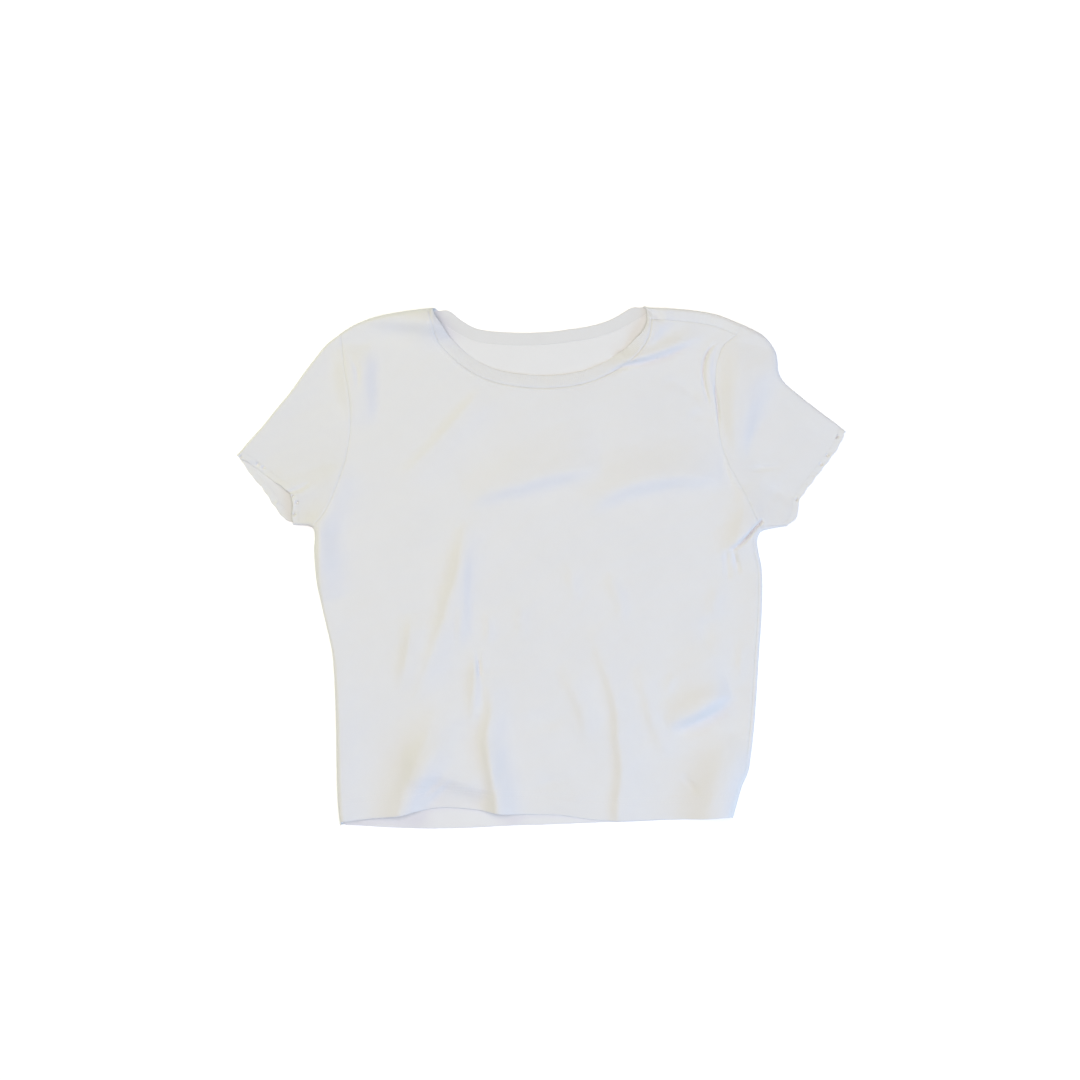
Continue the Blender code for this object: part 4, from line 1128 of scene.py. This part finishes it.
def edging_blocks(side):
    """The gathered strip, folded lengthwise, that continues the sleeve past its cuff seam."""
    points = sleeve_points[side]
    ring = points[-1]
    facing = surface_normals(points)[-1]
    if facing[ARMHOLE_ROWS // 2, 2] < 0:
        facing = -facing
    reach = unit(points[-1] - points[-4]) * EDGING_WIDTH
    places = finer_places(ring, EDGING_STEP)
    base, normal, reach, width = strip_base(ring, facing, reach, places)
    waves = round(places[-1] / EDGING_PITCH)
    phase = 2 * np.pi * waves * places / places[-1]
    upward = unit(normal + UPWARD_LEAN)
    rows, run = [], []

    def add_row(share, out_more, sunk, walked):
        """One row at a share of the width, moved further out and sunk below the outer side."""
        out = SEAM_GAP + share * (width - EDGING_RADIUS + EDGING_SCALLOP * np.cos(phase))
        lift = EDGING_WAVE * share * (1 - np.cos(phase)) / 2
        row = base + reach * (out + out_more)[:, None] + upward * lift[:, None]
        pinch = np.zeros(len(row))
        for pinch_x, pinch_y, depth in PINCHES[side]:
            away = np.hypot(row[:, 0] - pinch_x, row[:, 1] - pinch_y)
            pinch += depth * np.exp(-((away / PINCH_SIZE) ** 2))
        on_top = normal[:, 2] > 0
        pinch *= np.where(on_top, 1, 0.5)
        row = row - normal * (pinch + sunk)[:, None]
        lowest = OVER_LOWER - (OVER_LOWER - OVER_FLOOR) * sunk / (2 * EDGING_RADIUS)
        row[:, 2] = np.where(on_top, np.maximum(row[:, 2], lowest), row[:, 2])
        rows.append(row)
        run.append(walked)

    for share in np.linspace(0, 1, 9):
        add_row(share, 0, 0, share * EDGING_WIDTH)
    for angle in np.radians(np.linspace(90, -90, 7))[1:]:
        turned = EDGING_RADIUS * (np.pi / 2 - angle)
        sunk = EDGING_RADIUS * (1 - np.sin(angle))
        add_row(1, EDGING_RADIUS * np.cos(angle), sunk, EDGING_WIDTH + turned)
    for share in np.linspace(1, 0, 7)[1:]:
        add_row(share, 0, 2 * EDGING_RADIUS, EDGING_WIDTH * (2 - share) + 3 * EDGING_RADIUS)
    return [grid_block(np.array(rows), places[None], np.array(run)[:, None])]


edgings = {
    side: sew_sheet(f"cuff_edging_{side}", edging_blocks(side), EDGING_WALL, (0, 0, 1))
    for side in SIDES
}

# %% [markdown]
# ## Stitches
#
# A hem is held by two rows of thread, 5 mm apart. A stitch is a short bead of thread, so
# one is modelled from a sphere and copied along each row. Every copy lies on the cloth,
# turned along the row.

# %% One stitch and its copies
STITCH_PITCH, STITCH_LENGTH, THREAD = 3.2, 2.5, 0.38
bpy.ops.mesh.primitive_uv_sphere_add(segments=6, ring_count=5, radius=0.5)
stitch = bpy.context.object
bpy.ops.object.mode_set(mode="EDIT")
bpy.ops.mesh.select_all(action="SELECT")
bpy.ops.transform.resize(value=(THREAD, THREAD, STITCH_LENGTH))
bpy.ops.object.mode_set(mode="OBJECT")
bead = np.array([v.co for v in stitch.data.vertices])[:, [2, 0, 1]]
bead_faces = []
for face in stitch.data.polygons:
    corners = list(face.vertices)
    first = corners.index(min(corners))
    bead_faces.append(corners[first:] + corners[:first])
bead_faces.sort()  # Blender lists a new sphere's faces in another order each time
bpy.data.objects.remove(stitch)
print("stitch:", len(bead), "points and", len(bead_faces), "faces")


def stitch_row(name, lines):
    """One mesh of stitches along lines of points that lie on the cloth."""
    verts, faces = [], []
    for line in lines:
        count = int(lengths_along(line)[-1] / STITCH_PITCH)
        places = spaced(line, count)
        along = unit(np.gradient(places, axis=0))
        side_way = unit(np.cross([0, 0, 1.0], along))
        upward = np.cross(along, side_way)
        for place, *axes in zip(places, along, side_way, upward):
            first = sum(len(v) for v in verts)
            verts.append(place + bead @ np.array(axes) - MIDDLE)
            faces += [[first + i for i in face] for face in bead_faces]
    mesh = bpy.data.meshes.new(name)
    mesh.from_pydata(np.concatenate(verts) * MM, [], faces)
    mesh.shade_smooth()
    piece = bpy.data.objects.new(name, mesh)
    bpy.context.scene.collection.objects.link(piece)
    print(name, "has", len(verts), "stitches")
    return piece


# %% Rows on the hem and round the neck
HEM_ROWS, NECK_ROWS = (14.3, 19.3), (-1.7, -3.5)
STITCH_LIFT = 0.05


def thread_line(plan, cut_off):
    """A line just over the cloth, without the points next to the seams at its ends."""
    line = upper_surface(plan)
    line[:, 2] += STITCH_LIFT
    return line[cut_off:-cut_off]


inward = unit(FRONT_PLAN[HEM_GUIDE_ROW] - FRONT_PLAN[0])
hem_stitches = stitch_row(
    "front_hem_stitches",
    [thread_line(FRONT_PLAN[0] + inward * (row - HEM_RADIUS), 2) for row in HEM_ROWS],
)
neck_stitches = stitch_row(
    "neck_stitches", [thread_line(neck_line("upper", row, 241), 3) for row in NECK_ROWS]
)

# %% [markdown]
# ## Knit
#
# Jersey is rows of small V-shaped loops, and rib stands up in ridges. One node group draws
# the loops on the cloth's own flat map, so they follow every fold. It gives a height for
# the bump and a shade for the hollows between the loops.


# %% Helpers for nodes
def set_inputs(node, **values):
    """Gives a node's sockets their values by name; _ stands for a space."""
    for label, value in values.items():
        node.inputs[label.replace("_", " ")].default_value = value


def add_node(tree, kind, **values):
    node = tree.nodes.new("ShaderNode" + kind)
    set_inputs(node, **values)
    return node


def math(tree, operation, first, second=None):
    """A sum of one or two numbers or sockets."""
    node = add_node(tree, "Math")
    node.operation = operation
    for socket, value in zip(node.inputs, (first, second)):
        if isinstance(value, (int, float)):
            socket.default_value = value
        elif value is not None:
            tree.links.new(value, socket)
    return node.outputs[0]


def object_noise(tree, **values):
    """Noise that is fixed to the piece, wherever it is seen from."""
    noise = add_node(tree, "TexNoise", **values)
    tree.links.new(add_node(tree, "TexCoord").outputs["Object"], noise.inputs["Vector"])
    return noise.outputs["Fac"]


def blended(tree, share, low, high):
    """A colour that goes from low to high as the share goes from 0 to 1."""
    blend = add_node(tree, "Mix")
    blend.data_type = "RGBA"
    factor, low_socket, high_socket = (blend.inputs[index] for index in (0, 6, 7))
    low_socket.default_value = (*low, 1)
    high_socket.default_value = (*high, 1)
    tree.links.new(share, factor)
    return blend.outputs[2]


# %% Knit node group
WALE, COURSE = 0.8 * MM, 0.6 * MM  # a loop of jersey is this wide and this high
LEG_SLANT = 0.6  # how much of a course each leg of the V climbs
LOOP_EDGE = 0.4  # how high a loop stays where two loops meet

knit = bpy.data.node_groups.new("knit_loops", "ShaderNodeTree")
knit.interface.new_socket("Map", in_out="INPUT", socket_type="NodeSocketVector")
for label, value in (("Wale", WALE), ("Course", COURSE)):
    socket = knit.interface.new_socket(label, in_out="INPUT", socket_type="NodeSocketFloat")
    socket.default_value = value
for label in ("Height", "Shade"):
    knit.interface.new_socket(label, in_out="OUTPUT", socket_type="NodeSocketFloat")
inside, result = knit.nodes.new("NodeGroupInput"), knit.nodes.new("NodeGroupOutput")
split = add_node(knit, "SeparateXYZ")
knit.links.new(inside.outputs["Map"], split.inputs[0])
wale = math(knit, "FRACT", math(knit, "DIVIDE", split.outputs["X"], inside.outputs["Wale"]))
leg = math(knit, "MULTIPLY", math(knit, "ABSOLUTE", math(knit, "SUBTRACT", wale, 0.5)), 2.0)
course = math(knit, "DIVIDE", split.outputs["Y"], inside.outputs["Course"])
climb = math(knit, "MULTIPLY", leg, LEG_SLANT)
loop = math(knit, "FRACT", math(knit, "ADD", course, climb))
round_loop = math(knit, "SINE", math(knit, "MULTIPLY", loop, np.pi))
round_leg = math(knit, "SINE", math(knit, "MULTIPLY", leg, np.pi))
height = math(knit, "MULTIPLY", round_loop, math(knit, "ADD", round_leg, LOOP_EDGE))
knit.links.new(height, result.inputs["Height"])
knit.links.new(math(knit, "MINIMUM", height, 1.0), result.inputs["Shade"])
print("knit group:", len(knit.nodes), "nodes")

# %% [markdown]
# ## Finishes
#
# All the cloth is white cotton, but each kind takes light in its own way: jersey is even
# and matt, rib is a little denser, and thread is smoother. A slow mottle varies the white
# by one or two hundredths, as washed cotton does.


# %% Cloth materials
LOOP_DEPTH = 0.12 * MM
HOLLOW_TINT, MOTTLE_TINT = 0.45, 0.6  # how much of the white's range each one takes
FUZZ_DEPTH = 0.5  # of a loop's depth


def new_material(name, **values):
    """A material, its nodes and its shader, which has these values all over."""
    material = bpy.data.materials.new(name)
    material.use_nodes = True
    shader = material.node_tree.nodes["Principled BSDF"]
    set_inputs(shader, **values)
    return material, material.node_tree, shader


def cloth_material(name, white, shadow_white, bump, roughness=0.9, wale=WALE, course=COURSE):
    """A matt knit whose colour goes from shadow_white in its hollows to white."""
    material, tree, shader = new_material(
        name, Roughness=roughness, Sheen_Weight=0.1, Sheen_Roughness=0.5, Specular_IOR_Level=0.25
    )
    place = add_node(tree, "UVMap")
    place.uv_map = "cloth_map"
    loops = add_node(tree, "Group")
    loops.node_tree = knit
    set_inputs(loops, Wale=wale, Course=course)
    tree.links.new(place.outputs["UV"], loops.inputs["Map"])
    mottle = object_noise(tree, Scale=26.0, Detail=3.0)
    fuzz = object_noise(tree, Scale=1400.0)
    hollows = math(tree, "MULTIPLY", loops.outputs["Shade"], HOLLOW_TINT)
    tint = math(tree, "ADD", hollows, math(tree, "MULTIPLY", mottle, MOTTLE_TINT))
    colour = blended(tree, math(tree, "MINIMUM", tint, 1.0), shadow_white, white)
    tree.links.new(colour, shader.inputs["Base Color"])
    relief = add_node(tree, "Bump", Strength=bump, Distance=LOOP_DEPTH)
    fibres = math(tree, "MULTIPLY", fuzz, FUZZ_DEPTH)
    height = math(tree, "ADD", loops.outputs["Height"], fibres)
    tree.links.new(height, relief.inputs["Height"])
    tree.links.new(relief.outputs["Normal"], shader.inputs["Normal"])
    return material


jersey = cloth_material("jersey_cloth", (0.80, 0.805, 0.81), (0.745, 0.75, 0.76), 0.35)
# a lighter copy of the jersey: painted light for the back panel's inner side, which the front
# layer shades
jersey_inside_painted_light = cloth_material(
    "jersey_inside_painted_light", (0.83, 0.835, 0.84), (0.775, 0.78, 0.79), 0.35
)
rib = cloth_material(
    "rib_cloth", (0.79, 0.795, 0.80), (0.73, 0.735, 0.745), 0.4, course=0.7 * MM
)
edging_cloth = cloth_material(
    "edging_cloth", (0.805, 0.81, 0.81), (0.745, 0.75, 0.755), 0.4, 0.85, wale=0.7 * MM
)

# %% Thread and floor materials
thread, thread_tree, thread_shader = new_material("white_thread", Roughness=0.7)
twist = object_noise(thread_tree, Scale=2500.0)
twisted_white = blended(thread_tree, twist, (0.76, 0.76, 0.76), (0.86, 0.86, 0.86))
thread_tree.links.new(twisted_white, thread_shader.inputs["Base Color"])
floor_material = new_material(
    "pale_floor", Base_Color=(0.93, 0.93, 0.93, 1), Roughness=1.0, Specular_IOR_Level=0.0,
    Emission_Color=(1, 1, 1, 1), Emission_Strength=0.25,
)[0]
floor.data.materials.append(floor_material)
print("materials:", sorted(material.name for material in bpy.data.materials))

# %% [markdown]
# ## Materials, body and solids
#
# Every piece rides on the one rigid body, stands for its plain solid and takes its material.
# Each cloth's row also lists its slot, the size it was cut to, its area, what it rests on and
# its extra pieces.

# %% Materials, body and solids
Cloth = namedtuple("Cloth", "piece node slot material flat area rests extra")
CLOTHS = (
    Cloth(back, "back", "jersey", jersey, (0.385, 0.458), 0.155, ["floor"], []),
    Cloth(front, "front", "jersey", jersey, (0.362, 0.452), 0.143, ["back_panel"],
          [hem_stitches, neck_stitches]),
    Cloth(sleeves["right"], "sleeve_right", "jersey", jersey, (0.285, 0.097), 0.0155,
          ["floor"], []),
    Cloth(sleeves["left"], "sleeve_left", "jersey", jersey, (0.300, 0.110), 0.0199,
          ["floor"], []),
    Cloth(neckband, "neckband", "rib", rib, (0.515, 0.021), 0.0092, ["back_panel"], []),
    Cloth(edgings["right"], "sleeve_edging_right", "edging", edging_cloth, (0.168, 0.0115),
          0.0019, [sleeves["right"].name], []),
    Cloth(edgings["left"], "sleeve_edging_left", "edging", edging_cloth, (0.197, 0.0115),
          0.0022, [sleeves["left"].name], []),
)
for cloth in CLOTHS:
    cloth.piece.data.materials.append(cloth.material)
    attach(cloth.piece, "root")
    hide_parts(cloth.node)
for stitches in (hem_stitches, neck_stitches):
    stitches.data.materials.append(thread)
    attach(stitches, "root")

# %% The back panel's inner side, with painted light
INSIDE_HEIGHT = 1.9 * MM  # the inner side and the turned-up hem lie below this
LOOKS_UP = 0.5  # a normal's least rise
# The inner side that shows through the neck and under the front hem lies in the front layer's
# shade, so the lighter copy of the jersey paints light on it.
back.data.materials.append(jersey_inside_painted_light)
for face in back.data.polygons:
    painted_light_face = face.normal.z > LOOKS_UP and face.center.z < INSIDE_HEIGHT
    face.material_index = int(painted_light_face)
print("inner faces:", sum(face.material_index for face in back.data.polygons))
